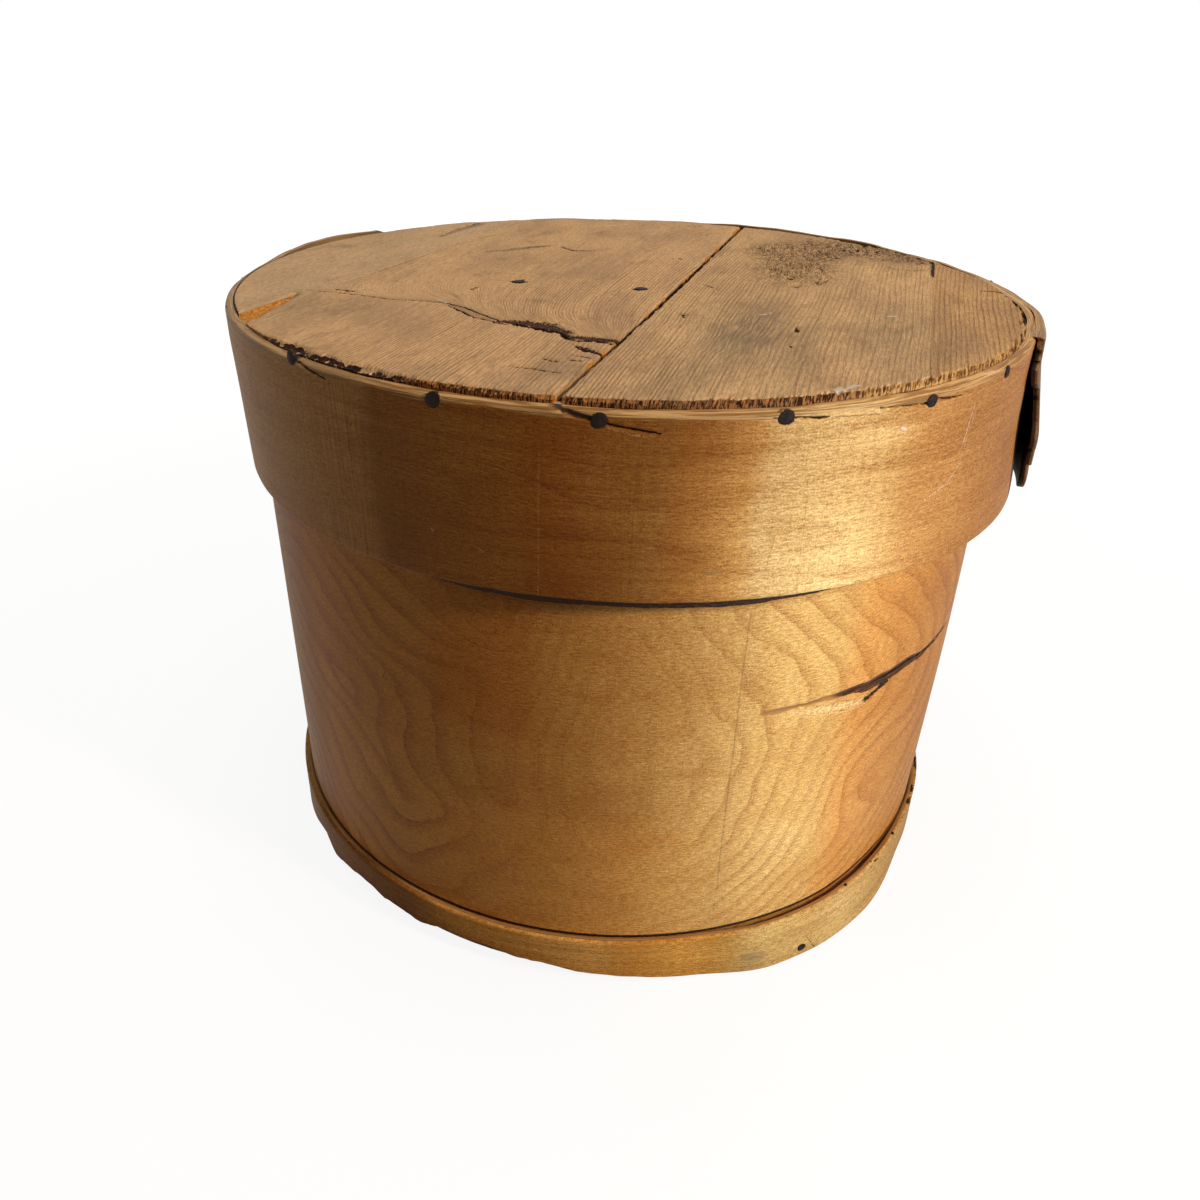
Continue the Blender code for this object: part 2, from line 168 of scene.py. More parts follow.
def spaced(start, end, coarse, *zones):
    """Stops from start to end, coarse apart, or closer in each zone of (from, to, step)."""
    stops = [start]
    while stops[-1] < end:
        steps = [step for low, high, step in zones if low <= stops[-1] < high]
        stops.append(min(stops[-1] + min([coarse, *steps]), end))
    return np.array(stops)


def trace(x, y, points):
    """Each place's distance from a line through the points, and how far along it lies, from 0 to 1."""
    spans = np.diff(np.array(points), axis=0)
    lengths = np.hypot(spans[:, 0], spans[:, 1])
    nearest = np.full(np.shape(x), np.inf)
    along = np.zeros(np.shape(x))
    passed = 0
    for (start_x, start_y), span, length in zip(points, spans, lengths):
        share = np.clip(((x - start_x) * span[0] + (y - start_y) * span[1]) / length**2, 0, 1)
        distance = np.hypot(x - start_x - share * span[0], y - start_y - share * span[1])
        closer = distance < nearest
        nearest = np.where(closer, distance, nearest)
        along = np.where(closer, (passed + share * length) / lengths.sum(), along)
        passed += length
    return nearest, along


def groove(x, y, points, widths, jag=0.3, seed=1):
    """1 along the middle of a line and 0 past its half widths, which are given from end to end."""
    distance, along = trace(x, y, points)
    width = np.interp(along, np.linspace(0, 1, len(widths)), widths) * MM
    distance = distance * np.clip(1 + jag * ripple(x, y, 2, 2, seed, 2), 0.3, None)
    return drop(distance, 0.35 * width, width + 0.2 * MM)


def hill(x, y, centre, x_radius, y_radius):
    """A round swell, 1 in its middle, with radii in millimetres."""
    return np.exp(-(((x - centre[0]) / (x_radius * MM)) ** 2) - ((y - centre[1]) / (y_radius * MM)) ** 2)


def spot(x, y, centre, x_radius, y_radius, turn=0):
    """1 in the middle of an ellipse with radii in millimetres, and 0 outside it."""
    away_x, away_y = x - centre[0], y - centre[1]
    cosine, sine = heading(turn)
    along, across = away_x * cosine + away_y * sine, away_y * cosine - away_x * sine
    return drop(np.hypot(along / (x_radius * MM), across / (y_radius * MM)))


# Camera and where the photograph's pixels lie


def add_camera():
    data = bpy.data.cameras.new("camera")
    data.sensor_width = SENSOR_WIDTH
    data.lens = FOCAL_PIXELS / PHOTO_SIDE * SENSOR_WIDTH
    data.clip_start = 10 * MM
    camera = bpy.data.objects.new("camera", data)
    camera.location = CAMERA_PLACE
    camera.rotation_euler = [math.radians(angle) for angle in CAMERA_ANGLES]
    bpy.context.scene.collection.objects.link(camera)
    bpy.context.scene.camera = camera
    bpy.context.view_layer.update()
    return camera


CAMERA = add_camera()


def sight(pixel):
    """The direction in which the camera sees a pixel of the photograph."""
    half = PHOTO_SIDE / 2
    return CAMERA.matrix_world.to_3x3() @ Vector((pixel[0] - half, half - pixel[1], -FOCAL_PIXELS))


def lid_place(pixel):
    """Where a pixel lies on the lid's top."""
    direction = sight(pixel)
    place = CAMERA.location + direction * ((BOX_TOP - CAMERA.location.z) / direction.z)
    return place.x, place.y


def band_place(pixel, radius):
    """Where a pixel lies on a bent strip, as the distance from its front and the height."""
    direction = sight(pixel)
    flat, eye = direction.xy, CAMERA.location.xy
    square = flat.length_squared
    half_b = eye.dot(flat)
    reach = (-half_b - math.sqrt(half_b**2 - square * (eye.length_squared - radius**2))) / square
    place = CAMERA.location + direction * reach
    return radius * math.radians(math.degrees(math.atan2(place.y, place.x)) - FRONT), place.z


def lid_line(pixels):
    return [lid_place(pixel) for pixel in pixels]


# Meshes


def add_object(name, mesh, body, slot, *nodes):
    piece = bpy.data.objects.new(f"worn_{name}", mesh)
    bpy.context.scene.collection.objects.link(piece)
    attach(piece, body)
    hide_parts(*nodes)
    return piece


def add_fields(mesh, fields):
    """Stores values for each point, which the finishes read."""
    for name, values in fields.items():
        values = np.ascontiguousarray(values, dtype=np.float32)
        if values.ndim == 1:
            mesh.attributes.new(name, "FLOAT", "POINT").data.foreach_set("value", values)
        else:
            mesh.attributes.new(name, "FLOAT_VECTOR", "POINT").data.foreach_set("vector", values.ravel())


def sheet_mesh(name, outer, inner, kept, fields, sharp=50):
    """A closed mesh between two grids of points, with a wall wherever a cell beside it isn't kept."""
    rows, columns = outer.shape[:2]
    count = rows * columns
    index = np.arange(count).reshape(rows, columns)
    corners = (index[:-1, :-1], index[1:, :-1], index[1:, 1:], index[:-1, 1:])
    beside = np.pad(kept, 1)
    neighbours = (beside[1:-1, :-2], beside[2:, 1:-1], beside[1:-1, 2:], beside[:-2, 1:-1])
    faces = [np.stack(corners, -1)[kept], np.stack(corners[::-1], -1)[kept] + count]
    for place, neighbour in enumerate(neighbours):
        start, end = corners[place], corners[(place + 1) % 4]
        edge = kept & ~neighbour
        faces.append(np.stack((end[edge], start[edge], start[edge] + count, end[edge] + count), -1))
    faces = np.concatenate(faces)
    points = np.concatenate((outer.reshape(-1, 3), inner.reshape(-1, 3)))
    used, faces = np.unique(faces, return_inverse=True)
    mesh = bpy.data.meshes.new(name)
    mesh.from_pydata(points[used].tolist(), [], faces.reshape(-1, 4).tolist())
    add_fields(mesh, {field: values[used] for field, values in fields.items()})
    mesh.shade_smooth()
    mesh.set_sharp_from_angle(angle=math.radians(sharp))
    return mesh


def vertex_places(mesh):
    places = np.empty(len(mesh.vertices) * 3)
    mesh.vertices.foreach_get("co", places)
    return places.reshape(-1, 3)


def both_faces(outer, inner=0):
    """A field's values for the outer face's points and then for the inner face's."""
    return np.concatenate((outer.ravel(), np.broadcast_to(inner, outer.shape).ravel()))


# Bent strips

START_ZONE, END_ZONE, END_STEP = 0.4, 0.5, 0.1


class Strip:
    """A strip wound clockwise from its inner end, round and over itself to its free outer end."""

    def __init__(self, outer_radius, thickness, inner_end, lap):
        self.radius = outer_radius
        self.thickness = thickness
        self.inner_end = inner_end
        self.lap = lap
        self.length = TURN + lap

    def turn_at(self, angle):
        return self.inner_end - angle

    def arc(self, turn):
        """The distance along the strip from its front, which grows to the right."""
        return self.radius * np.radians(self.inner_end - turn - FRONT)

    def place(self, pixel):
        return band_place(pixel, self.radius)

    def line(self, pixels):
        return [self.place(pixel) for pixel in pixels]

    def arcs(self, pixels):
        return [self.place(pixel)[0] for pixel in pixels]

    def turns(self, coarse, *zones):
        """Stops along the whole strip, closest at its two ends."""
        ends = (0, START_ZONE, END_STEP), (self.length - END_ZONE, self.length, END_STEP)
        return spaced(0, self.length, coarse, *zones, *ends)

    def lift(self, turn):
        """How far the strip stands off its first turn."""
        return smooth(turn, TURN - RAMP_ANGLE, TURN) * (self.thickness + FIT_GAP)

    def cover(self, angle):
        """What a hoop bent over this strip adds to its radius."""
        turn = (self.inner_end - angle) % TURN
        past_end = smooth((turn - self.lap) / RAMP_ANGLE)
        return np.maximum((1 - past_end) * (self.thickness + FIT_GAP), self.lift(turn))


SIDE = Strip(SIDE_RADIUS, SIDE_THICKNESS, 111, 36)
HOOP = Strip(HOOP_RADIUS, HOOP_THICKNESS, 168, 24)
RIM = Strip(RIM_RADIUS, RIM_THICKNESS, 30, 54)


def cylinder_points(radius, angle, height):
    angle = np.radians(angle)
    return np.stack((radius * np.cos(angle), radius * np.sin(angle), height), -1)


def worn(distance, radius):
    """How far a face falls back at that distance from an edge that is rounded to that radius."""
    short = np.clip(radius - distance, 0, radius)
    return radius - np.sqrt(radius**2 - short**2)


def strip_object(name, strip, radius, turn, height, fields, tint, edge_radius, kept=None, **ends):
    """Makes a bent strip from the radius of its outer face at each place, and its fields."""
    low, high = height.min(0), height.max(0)
    start = np.radians(turn) * strip.radius
    end = np.radians(turn.max(1)[:, None] - turn) * strip.radius
    edge = np.minimum.reduce((height - low, high - height, start, end))
    back = worn(edge, edge_radius)
    angle = strip.inner_end - turn
    outer = cylinder_points(radius - back, angle, height)
    inner = cylinder_points(radius - strip.thickness + back, angle, height)
    if kept is None:
        kept = np.ones((turn.shape[0] - 1, turn.shape[1] - 1), bool)
    arc = strip.arc(turn)
    places = [np.stack((arc.ravel(), height.ravel(), np.full(arc.size, depth)), -1) for depth in (0, 1)]
    tint = tint.reshape(-1, 3)
    values = {"grain": np.concatenate(places), "tint": np.concatenate((tint, np.ones_like(tint)))}
    for field, value in fields.items():
        values[field] = both_faces(*value) if isinstance(value, tuple) else both_faces(value)
    mesh = sheet_mesh(name, outer, inner, kept, values)
    return add_object(name, mesh, ends["body"], ends["slot"], name)


# Side

SIDE_CRACK_PIXELS = (
    *((765, 714), (800, 706), (842, 695), (866, 687)),
    *((886, 677), (906, 664), (922, 654), (944, 626)),
)
SIDE_CRACK_HALF_WIDTHS = (0.02, 0.03, 0.05, 0.15, 0.35, 0.6, 0.5, 0.15)
SIDE_TORN_HALF_WIDTHS = (0.7, 1.3, 2.5, 4, 4.6, 4, 2, 0.5)
SIDE_TAIL_PIXELS = ((820, 702), (868, 687))
SIDE_BRANCH_PIXELS = ((888, 681), (882, 686), (873, 694), (865, 701))
SIDE_FLAKE_PIXELS = ((800, 712), (824, 709), (850, 704), (866, 699))
SIDE_CREASE_PIXELS = ((753, 610), (748, 660), (743, 720), (736, 780), (730, 830), (724, 880), (718, 925))
LOOP_PIXELS = ((296, 592), (352, 694), (404, 792))
LOOP_PITCH = 15 * MM
LOOP_BULGE = (474, 688)
SWEEP_PIXEL = (705, 750)
SWEEP_PITCH = 19 * MM
EYE_PIXEL = (862, 772)
SLIT_ZONE = 22 * MM
SPLIT_ANGLES = (-22, -78)
SEEN_ANGLES = (-22, -160)
SIDE_WAVE = 0.45 * MM
TORN_DEPTH, BRANCH_DEPTH = 0.9 * MM, 1.6 * MM
FLAKE_DEPTH, CREASE_DEPTH = 0.5 * MM, 0.25 * MM
# Angles from the front where the rim's painted shadow on the side starts, is full, ends and is gone
SIDE_RIM_SHADOW_ANGLES = (-28, -10, 10, 42)
# The tint of the painted shade in the band below the rim
UNDER_RIM_SHADE_TINT = (0.62, 0.5, 0.4)
SIDE_TINT_PIXELS = ((640, 760), (400, 760))
SIDE_LEFT_TINT = (1.05, 0.9, 0.76)
# Painted fill light, which lightens the far left of the side
SIDE_FAR_LEFT_FILL_TINT = (1.2, 1.16, 1.12)
SIDE_EYE_TINT = (0.86, 0.8, 0.78)
SIDE_LOW_TINT = (1.15, 1.15, 1.1)
SIDE_DEEP_TINT = (0.93, 0.8, 0.68)
SIDE_SUNNY_PIXEL = (776, 850)
# Where along the side each tint starts, is full, ends and is gone, in millimetres
SIDE_ZONE_TINTS = (
    ((102, 125, 190, 250), (1.08, 0.9, 0.76)),
    # This one is painted shade, which darkens the far left of the side
    ((-260, -215, -180, -155), (0.72, 0.6, 0.45)),
)
SIDE_SUNNY_TINT = (1.08, 1.16, 1.3)
FOOT_LEAN = 2.2 * MM
FOOT_LEAN_ANGLES = (-58, -40, -6, 10)


def foot_lean(angle, height):
    """How far the side and its hoop have drawn in at the right of the foot."""
    return FOOT_LEAN * zone(signed(angle), *FOOT_LEAN_ANGLES) * fall(height, 20, 150)


def side_figure(arc, height):
    """The count of growth lines on a peeled sheet, which loop on the left and hook on the right."""
    loops = trace(arc, height, SIDE.line(LOOP_PIXELS))[0]
    loops = loops - 24 * MM * hill(arc, height, SIDE.place(LOOP_BULGE), 30, 20)
    loops = loops / LOOP_PITCH + 0.9 * ripple(arc, height, 55, 36, 5, 2)
    sweep_height = SIDE.place(SWEEP_PIXEL)[1]
    sweep = (arc + 9 * (height - sweep_height) ** 2) / SWEEP_PITCH
    sweep = sweep + 2.9 * hill(arc, height, SIDE.place(EYE_PIXEL), 44, 34)
    sweep = sweep + 0.55 * ripple(arc, height, 50, 34, 8, 2)
    total = sweep + (loops - sweep) * fall(arc, -60, 10)
    away = rise(np.abs(arc + 20 * MM), 210, 320)
    total = total + away * 4.5 * ripple(arc, height, 260, 150, 11, 2)
    return total + 0.07 * ripple(arc, height, 13, 8, 31, 2)


def figure_strength(arc):
    plain = rise(arc, -105, -60) * fall(arc, 15, 75)
    return (1 - 0.7 * plain) * (1.15 - 0.55 * rise(arc, -60, 15))


def side_rows(middle):
    """Heights of the side's rows, closer at its edges, by the hoop and the rim, and round the split."""
    zones = (
        (middle - SLIT_ZONE, middle + SLIT_ZONE, 0.8 * MM),
        (0, 2 * MM, 0.5 * MM),
        (SIDE_HEIGHT - 2 * MM, SIDE_HEIGHT, 0.5 * MM),
        (HOOP_HEIGHT - 1.5 * MM, HOOP_HEIGHT + 2.5 * MM, 0.4 * MM),
        (RIM_FOOT - 15 * MM, RIM_FOOT - 4 * MM, 0.6 * MM),
    )
    return spaced(0, SIDE_HEIGHT, 4 * MM, *zones)


def split_line(across, crack):
    """The split's height and half width at places along the strip, and whether it is open there."""
    inside = (across > crack[1, 0]) & (across < crack[-1, 0])
    line = np.interp(across, crack[:, 0], crack[:, 1])
    line = line + np.where(inside, 0.5 * MM, 0) * jitter(across, 9, 12, 2)
    half = np.interp(across, crack[:, 0], SIDE_CRACK_HALF_WIDTHS) * MM
    half = np.where(inside, half * (1 + 0.35 * jitter(across, 3, 3, 3)), 0.4 * MM)
    return line, half, inside


def split_heights(rows, across, line, half, lips, middle):
    """The height of each point, with two rows moved onto the split's lips and the lowest onto the foot."""
    from_rows = (0, HOOP_HEIGHT - 4 * MM, middle - SLIT_ZONE, *lips, middle + SLIT_ZONE, SIDE_HEIGHT)
    foot = 0.55 * hoop_foot(across)
    height = np.empty((len(rows), len(across)))
    for column in range(len(across)):
        to_rows = list(from_rows)
        to_rows[0] = foot[column]
        to_rows[3], to_rows[4] = line[column] - half[column], line[column] + half[column]
        height[:, column] = np.interp(rows, from_rows, to_rows)
    return height


def rim_shadow(arc, angle, height):
    """The painted shadow of the rim on the side: a dark line just below its foot, and a band of painted shade
    round it.
    """
    below = RIM_FOOT - height + 0.3 * MM * jitter(arc, 12, 39, 3)
    under_front = zone(signed(angle - FRONT), *SIDE_RIM_SHADOW_ANGLES)
    reached = 4.9 * MM + 1.5 * MM * under_front + 0.6 * np.maximum(rim_lean(angle, RIM_FOOT), 0)
    # The dark line is painted shadow, strongest at the front and reaching further where the rim leans out
    rim_shadow_line = zone(below, -1 * MM, 4 * MM, reached, reached + 0.6 * MM) * (0.3 + 0.7 * under_front)
    return rim_shadow_line, under_front * mm_zone(below, -6, 0, 6, 11)


def side_tint(arc, height, rim_shade_band):
    left, far_left = SIDE.arcs(SIDE_TINT_PIXELS)
    from_left = smooth(arc, far_left - 100 * MM, far_left - 60 * MM)
    return tinting(
        (from_left * drop(arc, left - 30 * MM, left + 50 * MM), SIDE_LEFT_TINT),
        # painted fill light on the far left
        (from_left * drop(arc, far_left, far_left + 50 * MM), SIDE_FAR_LEFT_FILL_TINT),
        # painted shade in the band below the rim
        (rim_shade_band, UNDER_RIM_SHADE_TINT),
        (hill(arc, height, SIDE.place(EYE_PIXEL), 26, 30), SIDE_EYE_TINT),
        (mm_zone(arc, -110, -90, 20, 60) * fall(height, 85, 115), SIDE_LOW_TINT),
        (hill(arc, height, SIDE.place(SIDE_SUNNY_PIXEL), 24, 20), SIDE_SUNNY_TINT),
        (mm_zone(arc, -92, -78, -42, -28) * rise(height, 130, 160), SIDE_DEEP_TINT),
        *((mm_zone(arc, *places), tint) for places, tint in SIDE_ZONE_TINTS),
    )


def build_side():
    split, seen = ([SIDE.turn_at(angle) for angle in angles] for angles in (SPLIT_ANGLES, SEEN_ANGLES))
    turns = SIDE.turns(2.4, (*seen, 1.4), (*split, 0.38))
    crack = np.array(SIDE.line(SIDE_CRACK_PIXELS))
    middle = crack[len(crack) // 2, 1]
    rows = side_rows(middle)
    lower_lip = int(np.searchsorted(rows, middle))
    line, half, inside = split_line(SIDE.arc(turns), crack)
    height = split_heights(rows, SIDE.arc(turns), line, half, rows[lower_lip : lower_lip + 2], middle)
    kept = np.ones((len(rows) - 1, len(turns) - 1), bool)
    kept[lower_lip] = ~(inside[:-1] & inside[1:])
    turn = np.meshgrid(turns, rows)[0]
    arc, angle = SIDE.arc(turn), SIDE.inner_end - turn

    reach = np.interp(arc, crack[:, 0], SIDE_TORN_HALF_WIDTHS) * MM
    start, end = crack[0, 0], crack[-1, 0]
    fibres = ripple(arc, height, 14, 0.9, 41, 2)
    from_crack = np.abs(height - line) - half
    torn = zone(arc, start - 4 * MM, start, end, end + 6 * MM)
    torn = torn * drop(from_crack + 0.5 * MM * fibres, 0.1 * MM, reach)
    branch = groove(arc, height, SIDE.line(SIDE_BRANCH_PIXELS), (1.6, 1.6, 1.3, 1.2))
    flake = groove(arc, height, SIDE.line(SIDE_FLAKE_PIXELS), (0.6, 2.2, 2.6, 1), 0.5)
    crease = np.array(SIDE.line(SIDE_CREASE_PIXELS))
    creased = fall(np.abs(arc - np.interp(height, crease[::-1, 1], crease[::-1, 0])), 1, 5)
    # Painted shade of the gap just above the hoop's top
    hoop_gap_shade = fall(np.abs(height - HOOP_HEIGHT - 0.2 * MM), 0.4, 1.1)
    hoop_gap_shade = hoop_gap_shade * (0.95 + 0.2 * ripple(arc, height, 9, 5, 37))
    # The rim's painted shadow on the side, and the band of painted shade round it
    rim_shadow_line, rim_shade_band = rim_shadow(arc, angle, height)

    free = smooth(height, HOOP_HEIGHT, HOOP_HEIGHT + 60 * MM) * drop(turn, TURN - 60, TURN - 20)
    free = free * smooth(turn, SIDE.lap, SIDE.lap + 20)
    radius = SIDE.radius + SIDE.lift(turn) + SIDE_WAVE * free * ripple(arc, height, 120, 150, 17, 2)
    radius = radius - TORN_DEPTH * torn * (1 + 0.35 * fibres) - BRANCH_DEPTH * branch - FLAKE_DEPTH * flake
    radius = radius - CREASE_DEPTH * creased * free - foot_lean(angle, height)
    fields = {
        # dark: the crack's branch, the painted shade above the hoop and the rim's painted shadow
        "dark": np.maximum.reduce((1.3 * branch, hoop_gap_shade, rim_shadow_line)),
        "torn": torn,
        "deep": torn * smooth(arc, *SIDE.arcs(SIDE_TAIL_PIXELS)),
        "fresh": np.clip(1.3 * flake - torn, 0, 1),
        "figure": side_figure(arc, height),
        "lines": figure_strength(arc),
        "rough": creased,
    }
    made = SIDE, radius, turn, height, fields, side_tint(arc, height, rim_shade_band), 0.7 * MM, kept
    return strip_object("side_band", *made, body="box", slot="side_veneer")


# Hoop

HOOP_FOOT_PIXELS = (
    (327, 834), (336, 855), (348, 867), (360, 876), (372, 887), (384, 899), (396, 907), (408, 914),
    (420, 922), (432, 927), (444, 930), (456, 937), (468, 941), (480, 944), (492, 948), (504, 953),
    (528, 961), (552, 967), (576, 972), (600, 976), (636, 978), (684, 978),
)
HOOP_FADE = 40 * MM
HOOP_FLARES = (2.2 * MM, 6.5 * MM)
HOOP_FLARE_ANGLES = (-78, -64, -46, -28)
HOOP_NAIL_PIXEL = (803, 949)
HOOP_STAIN_PIXEL = (749, 951)
HOOP_TINT_PIXELS = ((430, 915), (730, 955), (840, 905))
HOOP_LEFT_TINT = (1.55, 1.4, 1.2)
HOOP_DEEP_TINT = (0.78, 0.66, 0.46)
HOOP_RIGHT_TINT = (1.28, 1.4, 1.7)
# Darkens the hoop at its far left and towards its foot on the left
HOOP_DARKER_TINT = (0.68, 0.5, 0.32)


def hoop_foot(arc):
    """The height of the hoop's worn lower edge."""
    half_round = math.pi * HOOP.radius
    arc = (arc + half_round) % (2 * half_round) - half_round
    edge = np.array(HOOP.line(HOOP_FOOT_PIXELS))
    worn_height = np.interp(arc, edge[:, 0], np.clip(edge[:, 1], 0, None), right=0)
    worn_height = worn_height * smooth(arc, edge[0, 0] - HOOP_FADE, edge[0, 0])
    crumbs = jitter(arc, 4, 23, 2) + 3 * jitter(arc, 15, 24)
    crumbs = 0.3 * MM * crumbs * rise(worn_height, 0, 4)
    return np.clip(worn_height + crumbs, 0, None)


def hoop_flare(angle, share):
    """How far the loosened hoop stands off at the right, from its foot to its top."""
    swell = zone(signed(angle), *HOOP_FLARE_ANGLES)
    return swell * (HOOP_FLARES[1] + (HOOP_FLARES[0] - HOOP_FLARES[1]) * share)


def build_hoop():
    edge = 2 * MM
    zones = (0, edge, 0.4 * MM), (HOOP_HEIGHT - edge, HOOP_HEIGHT, 0.4 * MM)
    turn, row = np.meshgrid(HOOP.turns(0.6), spaced(0, HOOP_HEIGHT, 1.5 * MM, *zones))
    angle, arc = HOOP.inner_end - turn, HOOP.arc(turn)
    foot = hoop_foot(arc)
    top = HOOP_HEIGHT - 0.5 * MM * smooth(jitter(angle * MM, 5, 29, 3), 0.2, 1)
    height = foot + (top - foot) * row / HOOP_HEIGHT
    radius = HOOP.radius + HOOP.lift(turn) + SIDE.cover(angle) + hoop_flare(angle, row / HOOP_HEIGHT)
    radius = radius + 0.15 * MM * ripple(arc, height, 40, 12, 7, 2)
    stain = 0.6 * spot(arc, height, HOOP.place(HOOP_STAIN_PIXEL), 12, 7)
    stain = stain + 0.8 * spot(arc, height, HOOP.place(HOOP_NAIL_PIXEL), 14, 8)
    bits = smooth(ripple(arc, height, 4, 1.2, 53, 2), 0.45, 0.7)
    bits = bits * smooth(height, HOOP_HEIGHT - 2.5 * MM, top - 0.4 * MM)
    fields = {
        "dark": 0.8 * bits * rise(arc, 60, 120),
        "stain": np.clip(stain, 0, 1),
        "rough": rise(foot, 0, 1) * fall(height - foot, 0, 3),
    }
    radius = radius - foot_lean(angle, height)
    left, middle, right = HOOP.arcs(HOOP_TINT_PIXELS)
    tint = tinting(
        (zone(arc, left - 20 * MM, left + 10 * MM, middle - 30 * MM, middle + 10 * MM), HOOP_LEFT_TINT),
        (mm_zone(arc, -12, 15, 55, 85), HOOP_DEEP_TINT),
        (zone(arc, right - 30 * MM, right + 5 * MM, 190 * MM, 240 * MM), HOOP_RIGHT_TINT),
        (zone(arc, left - 130 * MM, left - 90 * MM, left - 20 * MM, left + 15 * MM), HOOP_DARKER_TINT),
        (fall(height - foot, 0, 9) * drop(arc, left, middle), HOOP_DARKER_TINT),
    )
    made = HOOP, radius, turn, height, fields, tint, 1.5 * MM
    return strip_object("base_hoop", *made, body="box", slot="hoop_wood")


# Lid's rim

RIM_LEAN = 2.5 * MM
RIM_WAVE = 0.3 * MM
RIM_ROUNDING = 2.8 * MM
SPLIT_DEPTH, DENT_DEPTH = 1.3 * MM, 0.5 * MM
SLIVER_HEIGHT = 2.4 * MM
RIM_FLARE = 2.4 * MM
RIM_FLARE_ANGLES = (-66, -40, -12, 4)
RIM_BACK_RISE = 1.5 * MM
RIM_SPRING = 6.4 * MM
RIM_SPRING_ANGLE = 33
RIM_FINE_ANGLES = (-15, -150)
TORN_TURN = 14
RIM_SPRING_STOPS = (RIM_FOOT, RIM_FOOT + 31 * MM, LID_UNDERSIDE, BOX_TOP)
RIM_SPRING_SHARES = (0.8, 1, 0.1, 0)
SLIVER_ANGLES = (142, 143, 160, 180)
BACK_RISE_ANGLES = (20, 45, 60, 95)
WORN_FRONT_ANGLES = (205, 225, 330, 345)
RIM_NAIL_PIXELS = ((290, 358), (432, 400), (599, 421), (787, 418), (933, 401), (1008, 372))
RIM_SPLITS = (
    (((548, 405), (562, 411), (578, 416), (594, 420)), (0.6, 1.3, 1.1, 0.9)),
    (((606, 424), (622, 428), (647, 432), (660, 434)), (0.4, 0.5, 0.4, 0.05)),
    (((796, 418), (830, 417)), (0.4, 0.05)),
    (((880, 408), (931, 403)), (0.05, 0.4)),
    (((938, 399), (961, 396)), (0.4, 0.05)),
    (((297, 363), (310, 371), (325, 379)), (0.6, 0.5, 0.05)),
)
RIM_HANDLED_PIXELS = ((368, 450), (775, 480))
# Where a painted highlight on the rim starts and ends
RIM_HIGHLIGHT_PIXELS = ((775, 480), (875, 460))
RIM_ZONE_TINTS = (
    ((-42, -32, -20, -10), (0.92, 0.82, 0.76)),
    ((12, 24, 46, 58), (0.95, 0.81, 0.62)),
)
HANDLED_TINT = (0.61, 0.455, 0.29)
# The tint of that painted highlight
RIM_HIGHLIGHT_TINT = (1.22, 1.34, 1.52)
RIM_ORANGE_TINT = (0.92, 0.8, 0.74)
RIM_WEATHERED_TINT = (0.42, 0.42, 0.75)
RIM_LEFT_TINT = (1, 0.93, 0.88)


def rim_lean(angle, height):
    below = np.clip(LID_UNDERSIDE - height, 0, None) / (LID_UNDERSIDE - RIM_FOOT)
    flare = RIM_FLARE * zone(angle, *RIM_FLARE_ANGLES) * smooth(below, 0.3, 1)
    return RIM_LEAN * np.cos(np.radians(angle)) * below + flare


def rim_grid():
    """The turns and heights of the rim's points before wear, with its outer end torn off unevenly."""
    fine = [RIM.turn_at(angle) for angle in RIM_FINE_ANGLES]
    start_fit = RIM.length - TORN_TURN
    end_zones = (0, START_ZONE, END_STEP), (start_fit, RIM.length, 0.35)
    turns = spaced(0, RIM.length, 1.5, (*fine, 0.4), *end_zones)
    zones = (RIM_FOOT, RIM_FOOT + 2.4 * MM, 0.5 * MM), (BOX_TOP - 14 * MM, BOX_TOP, 0.45 * MM)
    turn, row = np.meshgrid(turns, spaced(RIM_FOOT, BOX_TOP, 3 * MM, *zones))
    torn_end = RIM.length + 2.4 * jitter(row, 11, 61, 4)
    torn_end = torn_end - 5 * rise(RIM_FOOT + 18 * MM - row, 0, 3)
    stretched = start_fit + (turn - start_fit) * (torn_end - start_fit) / TORN_TURN
    return np.where(turn > start_fit, stretched, turn), row


def rim_tint(arc, height, lap_end, left, right):
    """The rim's tints: the zone between the places where hands have darkened it, a painted highlight to its
    right, and others.
    """
    blur = 12 * MM * ripple(arc, height, 70, 16, 67, 3)
    handled = smooth(arc + 0.3 * blur, left - 5 * MM, left + 5 * MM)
    handled = handled * drop(arc + blur, right - 55 * MM, right + 10 * MM)
    # A painted highlight, where the light falls brightest on the rim
    highlight_left, highlight_right = RIM.arcs(RIM_HIGHLIGHT_PIXELS)
    highlight = smooth(arc + 0.6 * blur, highlight_left - 25 * MM, highlight_left + 10 * MM)
    highlight = highlight * drop(arc + 0.6 * blur, highlight_right - 10 * MM, highlight_right + 25 * MM)
    return tinting(
        (handled, HANDLED_TINT),
        (highlight, RIM_HIGHLIGHT_TINT),
        (zone(arc, highlight_right, highlight_right + 30 * MM, 300 * MM, 360 * MM), RIM_ORANGE_TINT),
        *((mm_zone(arc + 0.3 * blur, *places), tint) for places, tint in RIM_ZONE_TINTS),
        (lap_end, RIM_WEATHERED_TINT),
        (smooth(arc, left + 2 * MM, left - 2 * MM), RIM_LEFT_TINT),
    )


